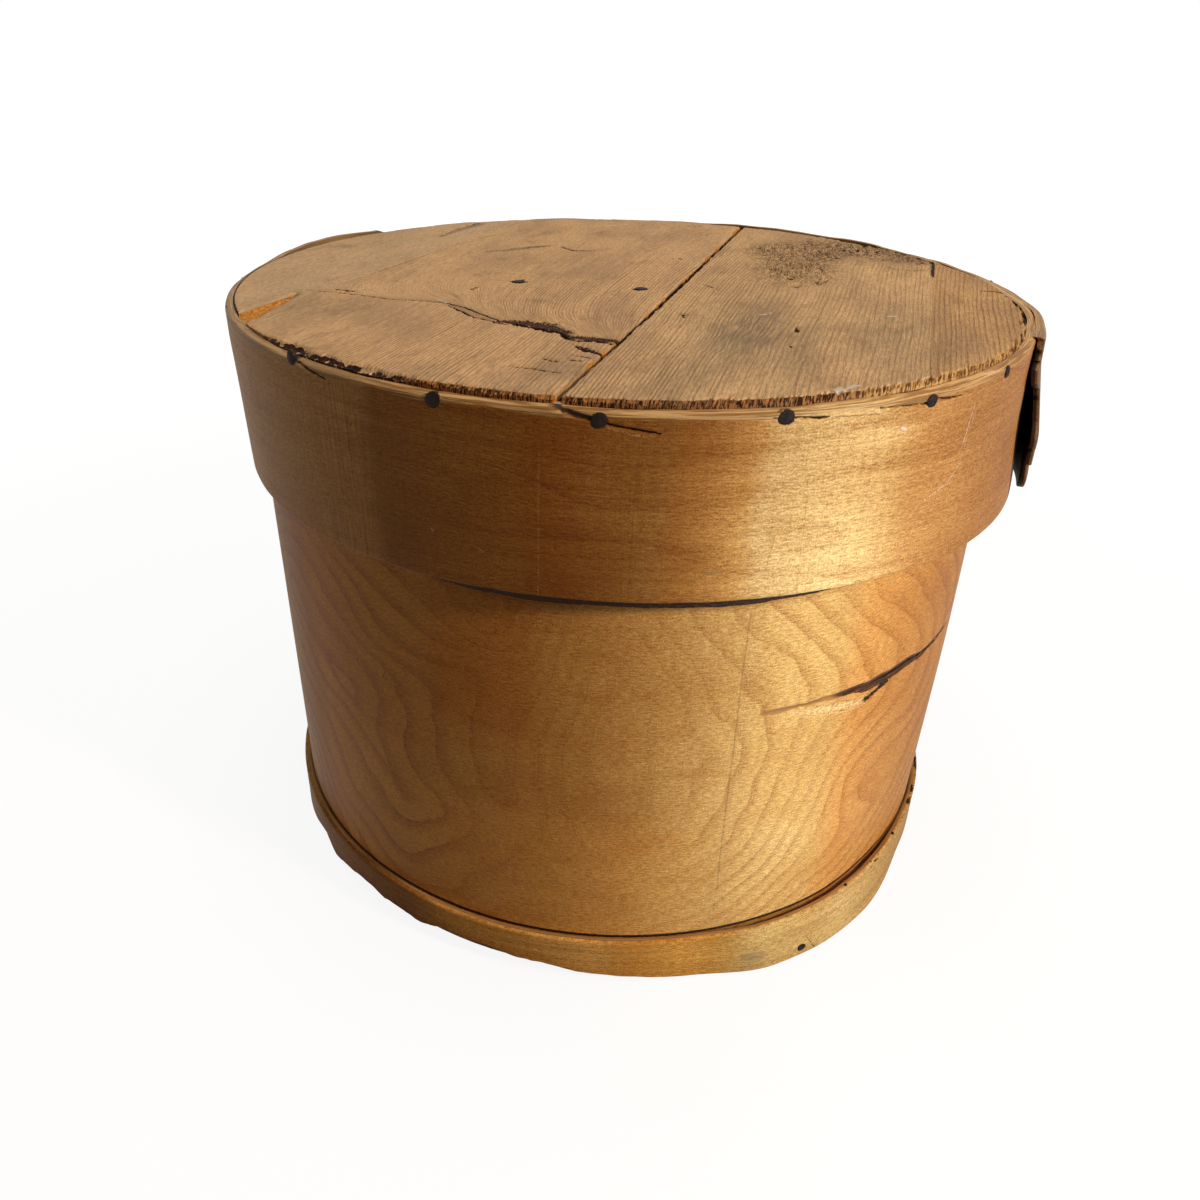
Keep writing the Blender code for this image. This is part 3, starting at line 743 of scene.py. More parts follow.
def build_rim():
    turn, row = rim_grid()
    angle, arc = RIM.inner_end - turn, RIM.arc(turn)
    around = angle % TURN
    front = zone(around, *WORN_FRONT_ANGLES)
    top = BOX_TOP - 0.5 * MM - 0.5 * MM * jitter(arc, 30, 71, 3)
    top = top + SLIVER_HEIGHT * zone(around, *SLIVER_ANGLES) + RIM_BACK_RISE * zone(around, *BACK_RISE_ANGLES)
    top = top - 0.5 * MM * front
    foot = RIM_FOOT + 0.25 * MM * (1 + jitter(arc, 25, 77, 3))
    height = foot + (top - foot) * (row - RIM_FOOT) / (BOX_TOP - RIM_FOOT)

    splits = [groove(arc, height, RIM.line(pixels), widths, 0.25) for pixels, widths in RIM_SPLITS]
    splits = np.maximum.reduce(splits)
    nails = RIM.line(RIM_NAIL_PIXELS)
    dents = np.maximum.reduce([spot(arc, height, nail, 7, 5) for nail in nails])
    holes = np.maximum.reduce([spot(arc, height, nail, 6, 5.2) for nail in nails])
    lap_end = smooth(turn, RIM.length - 8, RIM.length - 2)
    under_boards = rise(BOX_TOP - height, 3, 8)
    # Painted shade in the gap under the sprung lap, on the turn below it and on the lap's inner face
    lap_gap_shade = zone(turn, RIM.lap - 26, RIM.lap - 22, RIM.lap + 0.6, RIM.lap + 1.4) * under_boards
    behind = smooth(turn, RIM.length - 26, RIM.length - 22) * under_boards

    spring = RIM_SPRING * smooth(turn, RIM.length - RIM_SPRING_ANGLE, RIM.length)
    spring = spring * np.interp(height, RIM_SPRING_STOPS, RIM_SPRING_SHARES)
    wave = RIM_WAVE * drop(turn, TURN - 30, TURN) * ripple(arc, height, 70, 90, 83, 2)
    wave = wave * drop(height, LID_UNDERSIDE - 10 * MM, LID_UNDERSIDE) * smooth(turn, RIM.lap, RIM.lap + 20)
    radius = RIM.radius + RIM.lift(turn) + rim_lean(angle, height) + spring + wave
    radius = radius - SPLIT_DEPTH * splits - DENT_DEPTH * dents
    roundness = 0.6 + 0.35 * jitter(arc, 22, 91, 2) + 0.3 * front
    radius = radius - worn(top - height, RIM_ROUNDING) * roundness
    bare_depth = 2.9 * MM + 0.9 * MM * jitter(arc, 26, 89, 3)
    left, right = RIM.arcs(RIM_HANDLED_PIXELS)
    fields = {
        # dark: the nail holes and the painted shade under the lap, and the painted shade on the lap's inner
        # face
        "dark": (np.maximum(0.8 * smooth(holes, 0.3, 0.7), lap_gap_shade), behind),
        "figure": 1.6 * ripple(arc, height, 140, 45, 97, 2) + height / (26 * MM),
        "lines": np.full(arc.shape, 0.35),
        "bare": drop(top - height, bare_depth - 0.4 * MM, bare_depth),
        "stain": 0.35 * lap_end,
        "hatched": smooth(arc, left + 2 * MM, left - 2 * MM),
        "rough": np.clip(dents, 0, 1),
    }
    made = RIM, radius, turn, height, fields, rim_tint(arc, height, lap_end, left, right), 0.5 * MM
    return strip_object("lid_rim", *made, body="lid", slot="rim_veneer")


# Nails driven through the hoop and the rim, whose heads lie on the worn wood

NAIL_STEPS = 20
NAIL_DENT = 0.25 * MM
HEAD_RADII = {"hoop_nail": 2.3 * MM, "rim_nail": 3.1 * MM}
HIDDEN_SINK = 0.4 * MM
NAIL_PIXELS = {"hoop_nail_1": (802, 948)}
NAIL_PIXELS.update((f"rim_nail_{3 + place}", pixel) for place, pixel in enumerate(RIM_NAIL_PIXELS))
HEAD_PROFILE = ((0, 0.6), (0.45, 0.56), (0.8, 0.36), (0.97, 0.05), (0.97, -0.35), (0.5, -0.6))
SHANK_RADIUS = 0.9 * MM
SHANK_LENGTHS = {"hoop_nail": 12 * MM, "rim_nail": 22 * MM}


def head_place(node):
    """The angle and height of a nail's head, from its outermost points."""
    points = np.array([node.matrix_world @ vert.co for vert in node.data.vertices])
    reach = np.hypot(points[:, 0], points[:, 1])
    return points[reach > reach.max() - 0.5 * MM].mean(0)


def seat_below(head, wood):
    """The directions outward and sideways at a nail's head, and how far out the wood below it lies."""
    outward = np.array((head[0], head[1], 0)) / math.hypot(head[0], head[1])
    sideways = np.array((-outward[1], outward[0], 0))
    away = wood - head
    beside = np.hypot(away @ sideways, away[:, 2])
    near = (beside < 4 * MM) & (wood @ outward > 0.5 * (wood @ outward).max())
    return outward, sideways, (wood[near] @ outward).max()


def nail_mesh(name, rings, middle, outward, sideways):
    """A round nail: rings of radii and of places along the outward axis, which start and end in points."""
    turns = np.linspace(0, 2 * math.pi, NAIL_STEPS, endpoint=False)
    around = np.outer(np.cos(turns), sideways) + np.outer(np.sin(turns), (0, 0, 1))
    points = [middle + outward * rings[0][1]]
    for radii, place in rings[1:-1]:
        points.extend(middle + outward * place + radii[:, None] * around)
    points.append(middle + outward * rings[-1][1])
    starts = [1 + ring * NAIL_STEPS for ring in range(len(rings) - 2)]
    faces = []
    for step in range(NAIL_STEPS):
        after = (step + 1) % NAIL_STEPS
        faces.append((0, 1 + step, 1 + after))
        faces.append((starts[-1] + step, len(points) - 1, starts[-1] + after))
        for low, high in zip(starts, starts[1:]):
            faces.append((low + step, high + step, high + after, low + after))
    mesh = bpy.data.meshes.new(name)
    mesh.from_pydata([tuple(point) for point in points], [], faces)
    mesh.shade_smooth()
    mesh.set_sharp_from_angle(angle=math.radians(50))
    return mesh


def build_nails(kind, strip_piece, body, material):
    """Replaces each nail of a kind by one that is seated on the strip's worn outer face."""
    wood = vertex_places(strip_piece.data)
    names = [name for name in NODES if name.startswith(kind)]
    for seed, name in enumerate(names):
        head = head_place(NODES[name])
        outward, sideways, seat = seat_below(head, wood)
        if name in NAIL_PIXELS:
            arc, height = band_place(NAIL_PIXELS[name], seat)
            angle = math.radians(FRONT) + arc / seat
            head = np.array((seat * math.cos(angle), seat * math.sin(angle), height))
            outward, sideways, seat = seat_below(head, wood)
        else:
            seat = seat - HIDDEN_SINK
        turns = np.linspace(0, 2 * math.pi, NAIL_STEPS, endpoint=False)
        uneven = 1 + 0.1 * np.cos(2 * turns + seed) + 0.05 * np.cos(3 * turns + 2.3 * seed)
        size = HEAD_RADII[kind] * (1 + 0.08 * lattice(seed, 1, 7))
        shank = np.full(NAIL_STEPS, SHANK_RADIUS)
        rings = [(share * size * uneven, place * MM) for share, place in HEAD_PROFILE]
        rings += [(shank, HEAD_PROFILE[-1][1] * MM), (shank, -SHANK_LENGTHS[kind])]
        rings.append((shank, -SHANK_LENGTHS[kind] - 2 * MM))
        middle = outward * (seat - NAIL_DENT) + np.array((0, 0, head[2]))
        mesh = nail_mesh(name, rings, middle, outward, sideways)
        set_finish(add_object(name, mesh, body, "old_iron", name), material)


# Lid's boards, with each joint's offset across the grain and its turn off the grain

LID_GRAIN = 75.3
JOINT_GAPS = (0.06 * MM, 1.9 * MM, 0.12 * MM)
LID_JOINTS = ((-0.65 * LID_RADIUS, -4.7), (0.133 * LID_RADIUS, 0), (0.774 * LID_RADIUS, 0))
LID_BOARDS = ("lid_board_far_left", "lid_board_left", "lid_board_right", "lid_board_far_right")
CELL = 1.8 * MM
OUTLINE_END_SHARE = 0.9985  # of the radius, where an outer board's last line across the disc lies
# Each crack's pixels, its half widths and its depth in millimetres, and how dark it is
KNOT_CRACK = (
    (((308, 290), (354, 294), (391, 299), (424, 301), (444, 303)), (0.5, 0.6, 0.7, 0.6, 0.8), 0.5, 0.58),
    (((336, 289), (353, 291)), (0.8, 1.1), 0.7, 0.95),
    (((447, 305), (456, 309), (472, 317), (488, 321), (505, 325)), (1, 1.2, 1.2, 1.4, 1.6), 1.5, 0.65),
    (
        ((505, 322), (517, 324), (528, 327), (541, 329), (555, 332), (566, 335)),
        (1.5, 2.8, 3.4, 3.2, 3, 1.6),
        3.4,
        1,
    ),
    (((563, 335), (568, 340), (579, 342), (595, 342), (610, 345)), (1.2, 1.4, 2.4, 2.6, 1.4), 2.8, 1),
    (((576, 349), (587, 353), (596, 356)), (0.8, 1.6, 0.6), 1.6, 0.95),
    (((541, 361), (552, 364), (563, 366)), (0.3, 0.7, 0.3), 0.6, 0.5),
    (((528, 370), (541, 374), (555, 376)), (0.3, 0.6, 0.3), 0.6, 0.5),
    (((447, 303), (465, 308), (486, 316), (508, 324)), (0.5, 0.9, 0.9, 0.5), 0.6, 0.6),
    (((447, 304), (472, 313), (505, 322)), (1.5, 3.5, 4.5), 0.5, 0.24),
    (((500, 321), (517, 322), (541, 325), (566, 332)), (3, 7, 8, 5), 1, 0.46),
    (((565, 337), (585, 339), (612, 341)), (3, 6.5, 5), 1, 0.46),
    (((574, 347), (590, 353), (603, 357)), (1, 3, 1.5), 0.6, 0.45),
    (((570, 358), (584, 360), (592, 361)), (0.3, 0.9, 0.3), 0.5, 0.55),
    (((566, 363), (580, 364)), (0.5, 0.6), 0.4, 0.5),
    (((508, 370), (530, 372), (560, 377)), (0.4, 0.7, 0.5), 0.4, 0.5),
)
OTHER_CRACKS = (
    (((440, 236), (456, 229), (480, 222)), (0.3, 0.8, 0.8), 0.9, 0.6),
    (((510, 249), (536, 247), (552, 246)), (0.3, 0.7, 0.5), 1.2, 0.9),
    (((560, 247), (574, 251), (595, 251)), (0.6, 1.4, 0.5), 0.9, 0.6),
    (((470, 290), (478, 287)), (0.3, 0.8), 0.5, 0.7),
    (((888, 268), (911, 271), (929, 269)), (0.5, 1, 1), 1, 0.6),
    (((981, 291), (994, 291), (1006, 294)), (0.3, 0.8, 1), 0.9, 0.9),
    (((704, 285), (711, 287), (718, 290)), (0.3, 0.5, 0.3), 0.3, 0.75),
    (((796, 328), (797, 333)), (0.4, 0.8), 0.8, 0.8),
    (((790, 348), (791, 350)), (0.5, 0.4), 0.6, 0.75),
    (((683, 315), (684, 318)), (0.5, 0.5), 0.4, 0.75),
    (((679, 259), (682, 260)), (0.8, 0.8), 0.5, 0.8),
)
PALE_MARKS = (
    (((606, 226), (630, 224)), (0.8, 0.9)),
    (((757, 316), (771, 313)), (0.4, 0.3)),
    (((838, 396), (849, 393), (858, 390)), (1.2, 1.6, 0.8)),
    (((889, 317), (895, 317)), (1.6, 1.4)),
    (((440, 300), (452, 305)), (0.7, 0.5)),
)
# Each spot's pixel and its radii across and along the grain in millimetres
PATCH_SPOTS = (
    ((795, 268), 42, 80),
    ((776, 250), 30, 44),
    ((822, 248), 36, 56),
    ((868, 250), 44, 30),
    ((900, 258), 36, 26),
)
GREY_STAINS = (
    ((745, 335), 34, 110, 0.75),
    ((800, 350), 16, 110, 0.4),
    ((700, 370), 26, 80, 0.4),
    ((900, 335), 40, 90, 0.35),
    ((515, 281), 6, 3, 0.9),
    ((497, 280), 8, 2.5, 0.5),
    ((540, 301), 10, 8, 0.45),
    ((555, 374), 14, 22, 0.4),
    ((300, 310), 40, 60, 0.3),
    ((345, 247), 12, 10, 0.5),
)
STAIN_LINES = (
    (((440, 237), (456, 231), (480, 224)), (0.6, 2.6, 4.2)),
    (((484, 252), (509, 250), (536, 247), (552, 246)), (1.2, 4, 4.4, 1.4)),
    (((560, 247), (574, 251), (595, 251)), (0.8, 2.2, 0.8)),
)
SPLINTER_LENGTH = 54 * MM
SPLINTER_WIDTH = 15 * MM
SPLINTER_SHIFT = 8 * MM
TOP_NAILS = ("cleat_nail_1", "cleat_nail_2")
# Each board's growth lines: millimetres across the grain, and how far apart the lines are from there on
RING_PITCHES = (
    ((-230, 2.4), (230, 2.4)),
    ((-230, 1.6), (-60, 1.9), (230, 1.9)),
    ((-60, 1.8), (74, 2.3), (230, 2.3)),
    ((60, 2.4), (250, 2.4)),
)
RING_CRACK_PIXELS = ((300, 289), (444, 302), (488, 320), (541, 328), (566, 334), (612, 344))
FAINT_ACROSS = (66 * MM, 84 * MM)
RING_CLEAR_SHARES = (0.2, 1, 1, 1)
BOARD_RISE, BOARD_WARP, DISH_DEPTH = 2 * MM, 0.35 * MM, 0.3 * MM
WRINKLE_DEPTH, PIT_DEPTH, LIFTED_FLAKE = 0.35 * MM, 1.3 * MM, 0.5 * MM
NAIL_SINK, SPLINTER_DEPTH, SPLINTER_SLOPE = 1.1 * MM, 2.4 * MM, 1.2 * MM
CRUMBLY_ANGLES = (-141, -136, -122, -108)


ALONG = heading(LID_GRAIN)
ACROSS = np.array((ALONG[1], -ALONG[0]))
ALL_GAPS = (0, *JOINT_GAPS, 0)


def across_lines(place):
    """The first and last line along a board: each a point and a direction."""
    end = OUTLINE_END_SHARE * LID_RADIUS
    joints = [(-end, LID_JOINTS[0][1]), *LID_JOINTS, (end, LID_JOINTS[-1][1])]
    lines = []
    for side, joint in ((1, place), (-1, place + 1)):
        offset, turn = joints[joint]
        lines.append((ACROSS * (offset + side * ALL_GAPS[joint] / 2), heading(LID_GRAIN + turn)))
    return lines


def board_grid(place):
    """Points of a board's top in lines along it, which end on the lid's round edge."""
    (first, first_way), (last, last_way) = across_lines(place)
    width = abs(float(np.dot(last - first, ACROSS)))
    shares = spaced(0, width, CELL, (0, 2 * MM, 0.5 * MM), (width - 2 * MM, width, 0.5 * MM)) / width
    longest = 2 * LID_RADIUS
    end_zones = (0, 1.2 * MM, 0.4 * MM), (longest - 1.2 * MM, longest, 0.6 * MM)
    ends = spaced(0, longest, CELL, *end_zones) / longest
    columns = []
    for share in shares:
        start = first + (last - first) * share
        way = first_way + (last_way - first_way) * share
        way = way / np.hypot(*way)
        middle = -float(np.dot(start, way))
        half = math.sqrt(max(LID_RADIUS**2 - float(np.dot(start, start)) + middle**2, 0))
        reach = middle + half * (2 * ends - 1)
        columns.append(start + reach[:, None] * way)
    return np.array(columns)


def refined(bm, wanted):
    """Splits the faces whose middle is wanted into four."""
    middles = np.array([face.calc_center_median()[:2] for face in bm.faces])
    chosen = wanted(middles[:, 0], middles[:, 1])
    edges = {edge for face, picked in zip(bm.faces, chosen) if picked for edge in face.edges}
    bmesh.ops.subdivide_edges(bm, edges=list(edges), cuts=1, use_grid_fill=True)


def crack_marks(x, y):
    """How deep each lid crack goes, in metres, and how dark it is."""
    depth, dark = np.zeros(x.shape), np.zeros(x.shape)
    for seed, (pixels, widths, deep, darkness) in enumerate((*KNOT_CRACK, *OTHER_CRACKS)):
        line = lid_line(pixels)
        near = trace(x, y, line)[0] < 11 * MM
        mark = groove(x[near], y[near], line, widths, 0.45, 100 + seed)
        depth[near] = np.maximum(depth[near], mark * deep * MM)
        dark[near] = np.maximum(dark[near], mark * darkness)
    return depth, dark


def edge_wear(x, y):
    """How broken the boards' sawn ends are there: the front, where the rim leaves them bare."""
    angle = np.degrees(np.arctan2(y, x))
    front = smooth(angle, -143, -136) * drop(angle, -8, 12)
    back = 0.25 * drop(np.abs(np.abs(angle) - 90), 70, 90)
    return np.maximum(front, back)


def patch_mask(x, y):
    total = np.zeros(x.shape)
    for pixel, wide, tall in PATCH_SPOTS:
        total = total + spot(x, y, lid_place(pixel), wide, tall, LID_GRAIN - 90)
    return np.clip(1.3 * total, 0, 1)


def splinter_mask(x, y):
    """1 in the recess that a lost splinter left beside the first joint."""
    offset, turn = LID_JOINTS[0]
    way = heading(LID_GRAIN + turn)
    start = ACROSS * offset
    along = (x - start[0]) * way[0] + (y - start[1]) * way[1]
    across = (x - start[0]) * way[1] - (y - start[1]) * way[0]
    middle = -float(np.dot(start, way))
    mouth = middle - math.sqrt(LID_RADIUS**2 - float(np.dot(start, start)) + middle**2)
    share = (along - mouth) / SPLINTER_LENGTH
    across = across + SPLINTER_SHIFT
    width = SPLINTER_WIDTH * np.clip(1 - share, 0, 1) ** 0.8
    width = width + 0.7 * MM * jitter(along, 9, 131, 2) * np.clip(1 - share, 0, 1)
    mask = (share < 1) * rise(across, -0.4, 0.4) * drop(across, width - 0.5 * MM, width + 0.3 * MM)
    return mask, across / SPLINTER_WIDTH


def ring_place(x, y):
    """The distance across the growth rings, which hook into the knot crack."""
    across = x * ACROSS[0] + y * ACROSS[1]
    along = x * ALONG[0] + y * ALONG[1]
    crack = np.array(lid_line(RING_CRACK_PIXELS))
    distance = trace(x, y, crack)[0]
    crack_along = np.interp(across, crack @ ACROSS, crack @ ALONG)
    behind = rise(along - crack_along, -0.5, 0.5)
    reach = rise(across, -150, -60) * fall(across, 16, 30)
    bend = -34 * MM * np.exp(-distance / (17 * MM)) * behind * reach
    bend = bend + 5 * MM * ripple(across, along, 30, 45, 141, 2) * np.exp(-distance / (45 * MM)) * behind
    drift = 5 * MM * ripple(across, along, 90, 260, 151, 2)
    swirl = 9 * MM * ripple(across, along, 32, 42, 161, 2) * patch_mask(x, y)
    return along, across + bend + drift + swirl


def worn_places(x, y):
    """True where a board's faces are split into four."""
    edge = LID_RADIUS - np.hypot(x, y)
    wanted = (edge < 9 * MM) & (edge_wear(x, y) > 0.3)
    wanted |= patch_mask(x, y) > 0.15
    wanted |= crack_marks(x, y)[1] > 0.02
    return wanted | (splinter_mask(x, y)[0] > 0.02)


def finest_places(x, y):
    """True where they are split once more."""
    edge = LID_RADIUS - np.hypot(x, y)
    return (crack_marks(x, y)[1] > 0.02) | ((edge < 6 * MM) & (edge_wear(x, y) > 0.5))


def board_mesh(place):
    """A flat board as a closed mesh, finer where it is worn."""
    grid = board_grid(place)
    columns, rows = grid.shape[:2]
    index = np.arange(columns * rows).reshape(columns, rows)
    faces = np.stack((index[:-1, :-1], index[1:, :-1], index[1:, 1:], index[:-1, 1:]), -1).reshape(-1, 4)
    points = np.concatenate((grid.reshape(-1, 2), np.full((columns * rows, 1), BOX_TOP)), 1)
    mesh = bpy.data.meshes.new(LID_BOARDS[place])
    mesh.from_pydata(points.tolist(), [], faces.tolist())
    bm = bmesh.new()
    bm.from_mesh(mesh)
    refined(bm, worn_places)
    refined(bm, finest_places)
    outline = [edge for edge in bm.edges if edge.is_boundary]
    walls = bmesh.ops.extrude_edge_only(bm, edges=outline)["geom"]
    for item in walls:
        if isinstance(item, bmesh.types.BMVert):
            item.co.z = LID_UNDERSIDE
    low_edges = [item for item in walls if isinstance(item, bmesh.types.BMEdge) and item.is_boundary]
    bmesh.ops.contextual_create(bm, geom=low_edges)
    bmesh.ops.recalc_face_normals(bm, faces=bm.faces)
    bm.to_mesh(mesh)
    bm.free()
    return mesh


def sawn_wear(x, y, along, plain):
    """How broken the sawn ends are, how crumbly, their comb of fibres and how deep their chips are."""
    edge = LID_RADIUS - np.hypot(x, y)
    wear = edge_wear(x, y)
    crumbly = zone(np.degrees(np.arctan2(y, x)), *CRUMBLY_ANGLES)
    comb = ripple(plain, along, 0.8, 9, 171, 2) * (1 - 0.8 * crumbly)
    clumps = ripple(plain, along, 6, 6, 181, 2)
    reach = (3.4 + 1.5 * comb + (1.6 + 1.4 * crumbly) * clumps + 1.2 * crumbly) * MM * wear
    broken = wear * drop(edge, 0.2 * reach, np.maximum(reach, 0.3 * MM))
    return broken, crumbly, comb, (1.3 + 0.9 * comb + 0.5 * clumps + 0.8 * crumbly) * MM


def patch_wear(x, y, along, plain, patch):
    """The pits and the flakes of the rough patch."""
    drift = 2 * MM * ripple(x, y, 14, 14, 199, 2)
    pits = smooth(ripple(plain + drift, along - 2 * drift, 2.1, 4.6, 201, 2), 0.3, 0.65)
    flakes = smooth(ripple(plain - drift, along, 4, 9, 211, 2), 0.1, 0.22)
    return 0.6 * pits * smooth(patch, 0.1, 0.55), flakes * smooth(patch, 0.1, 0.5)


def top_nail_distance(x, y):
    distances = []
    for nail in TOP_NAILS:
        low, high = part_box(nail)
        middle = (low + high) / 2
        distances.append(np.hypot(x - middle.x, y - middle.y))
    return np.minimum.reduce(distances)


def long_edge(place, x, y):
    """The distance from a board's nearer joint, and 1 where that joint is an open one."""
    edges = []
    for (start, way), sign in zip(across_lines(place), (1, -1)):
        edges.append(sign * ((x - start[0]) * way[1] - (y - start[1]) * way[0]))
    nearer = np.where(edges[0] < edges[1], ALL_GAPS[place], ALL_GAPS[place + 1])
    return np.minimum(*edges), rise(nearer, 0.2, 1)


def grey_stains(x, y):
    stain = np.zeros(x.shape)
    for pixel, wide, tall, strength in GREY_STAINS:
        stain = np.maximum(stain, strength * spot(x, y, lid_place(pixel), wide, tall, LID_GRAIN - 90))
    for pixels, widths in STAIN_LINES:
        stain = np.maximum(stain, 0.8 * groove(x, y, lid_line(pixels), widths, 0.5))
    return stain


def ring_strength(place, plain, along, patch):
    """How clear a board's growth lines are."""
    lines = 0.2 + 0.8 * rise(plain, -115, -60)
    if place == 1:
        lines = lines * (1 - 0.75 * rise(along, 45, 105))
    if place == 2:
        lines = lines * (1 - 0.3 * smooth(plain, *FAINT_ACROSS))
    return RING_CLEAR_SHARES[place] * lines * (1 - 0.8 * patch)


def build_board(place):
    mesh = board_mesh(place)
    places = vertex_places(mesh)
    x, y, z = places.T
    along, across = ring_place(x, y)
    plain = x * ACROSS[0] + y * ACROSS[1]
    edge = LID_RADIUS - np.hypot(x, y)
    depth, dark = crack_marks(x, y)
    broken, crumbly, comb, chips = sawn_wear(x, y, along, plain)
    patch = patch_mask(x, y)
    pits, flakes = patch_wear(x, y, along, plain, patch)
    gone, splinter_share = splinter_mask(x, y)
    gone = gone * (place <= 1)
    nail_away = top_nail_distance(x, y)
    nails, dish = fall(nail_away, 3.3, 3.9), fall(nail_away, 4, 12)
    joint, open_joint = long_edge(place, x, y)
    nibble = 0.7 * MM * (1 + ripple(along, joint, 5, 1, 231 + place, 3)) * open_joint

    raised = BOARD_RISE * rise(-y, 40, 190) * fall(np.abs(x), 150, 190)
    warp = BOARD_WARP * ripple(plain, along, 60, 160, 221 + place, 2) * (1 - dish) - DISH_DEPTH * dish
    top = BOX_TOP + raised + warp * rise(edge, 0, 20)
    top = top - worn(joint, 0.5 * MM) * open_joint - nibble * fall(joint, 0, 1.6)
    top = top - depth - broken * chips - patch * WRINKLE_DEPTH * ripple(x, y, 5, 3.4, 191, 3)
    top = top - PIT_DEPTH * pits - LIFTED_FLAKE * flakes - NAIL_SINK * nails
    top = top - gone * (SPLINTER_DEPTH - SPLINTER_SLOPE * np.clip(splinter_share, 0, 1) + 0.3 * MM * comb)
    places[:, 2] = np.where(z > (BOX_TOP + LID_UNDERSIDE) / 2, top, z)
    mesh.vertices.foreach_set("co", places.ravel())

    torn_edge = open_joint * (place == 1) * fall(joint, 0.5, 1.6)
    torn_edge = torn_edge * (0.26 + 0.5 * ripple(along, joint, 9, 3, 241, 2))
    around = np.degrees(np.arctan2(y, x)) % TURN
    left_gap = fall(edge, 0.4, 1.2) * smooth(around, 150, 165) * (around < 212)
    back_joint = (place >= 2) * fall(joint, 0.3, 0.8) * rise(along, 70, 90) * (plain > 0.5 * LID_RADIUS)
    hollow = crumbly * smooth(broken, 0.1, 0.75) * (0.62 + 0.6 * ripple(x, y, 2.4, 1.8, 261, 2))
    shadow = hollow + 0.45 * pits + 0.95 * (nails > 0.02) + 0.8 * left_gap + 0.8 * back_joint
    pale = [groove(x, y, lid_line(pixels), widths, 0.8) for pixels, widths in PALE_MARKS]
    stops, pitches = np.array(RING_PITCHES[place]).T * MM
    fields = {
        "grain": np.stack((along, across, BOX_TOP - places[:, 2]), -1),
        "dark": np.maximum(dark, np.clip(shadow, 0, 1)),
        "fresh": np.clip(gone + torn_edge, 0, 1),
        "teeth": broken * (1 - crumbly),
        "stain": grey_stains(x, y),
        "pale": np.maximum.reduce(pale),
        "rough": patch,
        "lines": ring_strength(place, plain, along, patch),
        "rings": np.interp(across, stops, np.cumsum(np.append(0, np.diff(stops) / pitches[:-1]))),
    }
    add_fields(mesh, fields)
    mesh.shade_smooth()
    mesh.set_sharp_from_angle(angle=math.radians(60))
    return add_object(LID_BOARDS[place], mesh, "lid", "pine_board", LID_BOARDS[place])


# Finishes


class Nodes:
    """The nodes of a tree. Values may be numbers, colours or the sockets of other nodes."""

    def __init__(self, owner):
        owner.use_nodes = True
        self.tree = owner.node_tree

    def plug(self, socket, value):
        if isinstance(value, bpy.types.NodeSocket):
            self.tree.links.new(value, socket)
        elif isinstance(value, tuple) and socket.type == "RGBA":
            socket.default_value = (*value, 1)
        else:
            socket.default_value = value

    def node(self, kind, inputs, output=0, **settings):
        made = self.tree.nodes.new(kind)
        for setting, value in settings.items():
            setattr(made, setting, value)
        for socket, value in inputs.items():
            self.plug(made.inputs[socket], value)
        return made.outputs[output]

    def math(self, operation, first, second=0, third=0, clamp=False):
        inputs = {0: first, 1: second, 2: third}
        return self.node("ShaderNodeMath", inputs, operation=operation, use_clamp=clamp)

    def span(self, value, low, high, start=0, end=1):
        """Goes smoothly from start to end as the value goes from low to high."""
        inputs = {"Value": value, "From Min": low, "From Max": high, "To Min": start, "To Max": end}
        return self.node("ShaderNodeMapRange", inputs, interpolation_type="SMOOTHSTEP")

    def vector(self, operation, inputs, output=0):
        return self.node("ShaderNodeVectorMath", inputs, output, operation=operation)

    def times(self, *factors):
        result = factors[0]
        for factor in factors[1:]:
            result = self.math("MULTIPLY", result, factor)
        return result


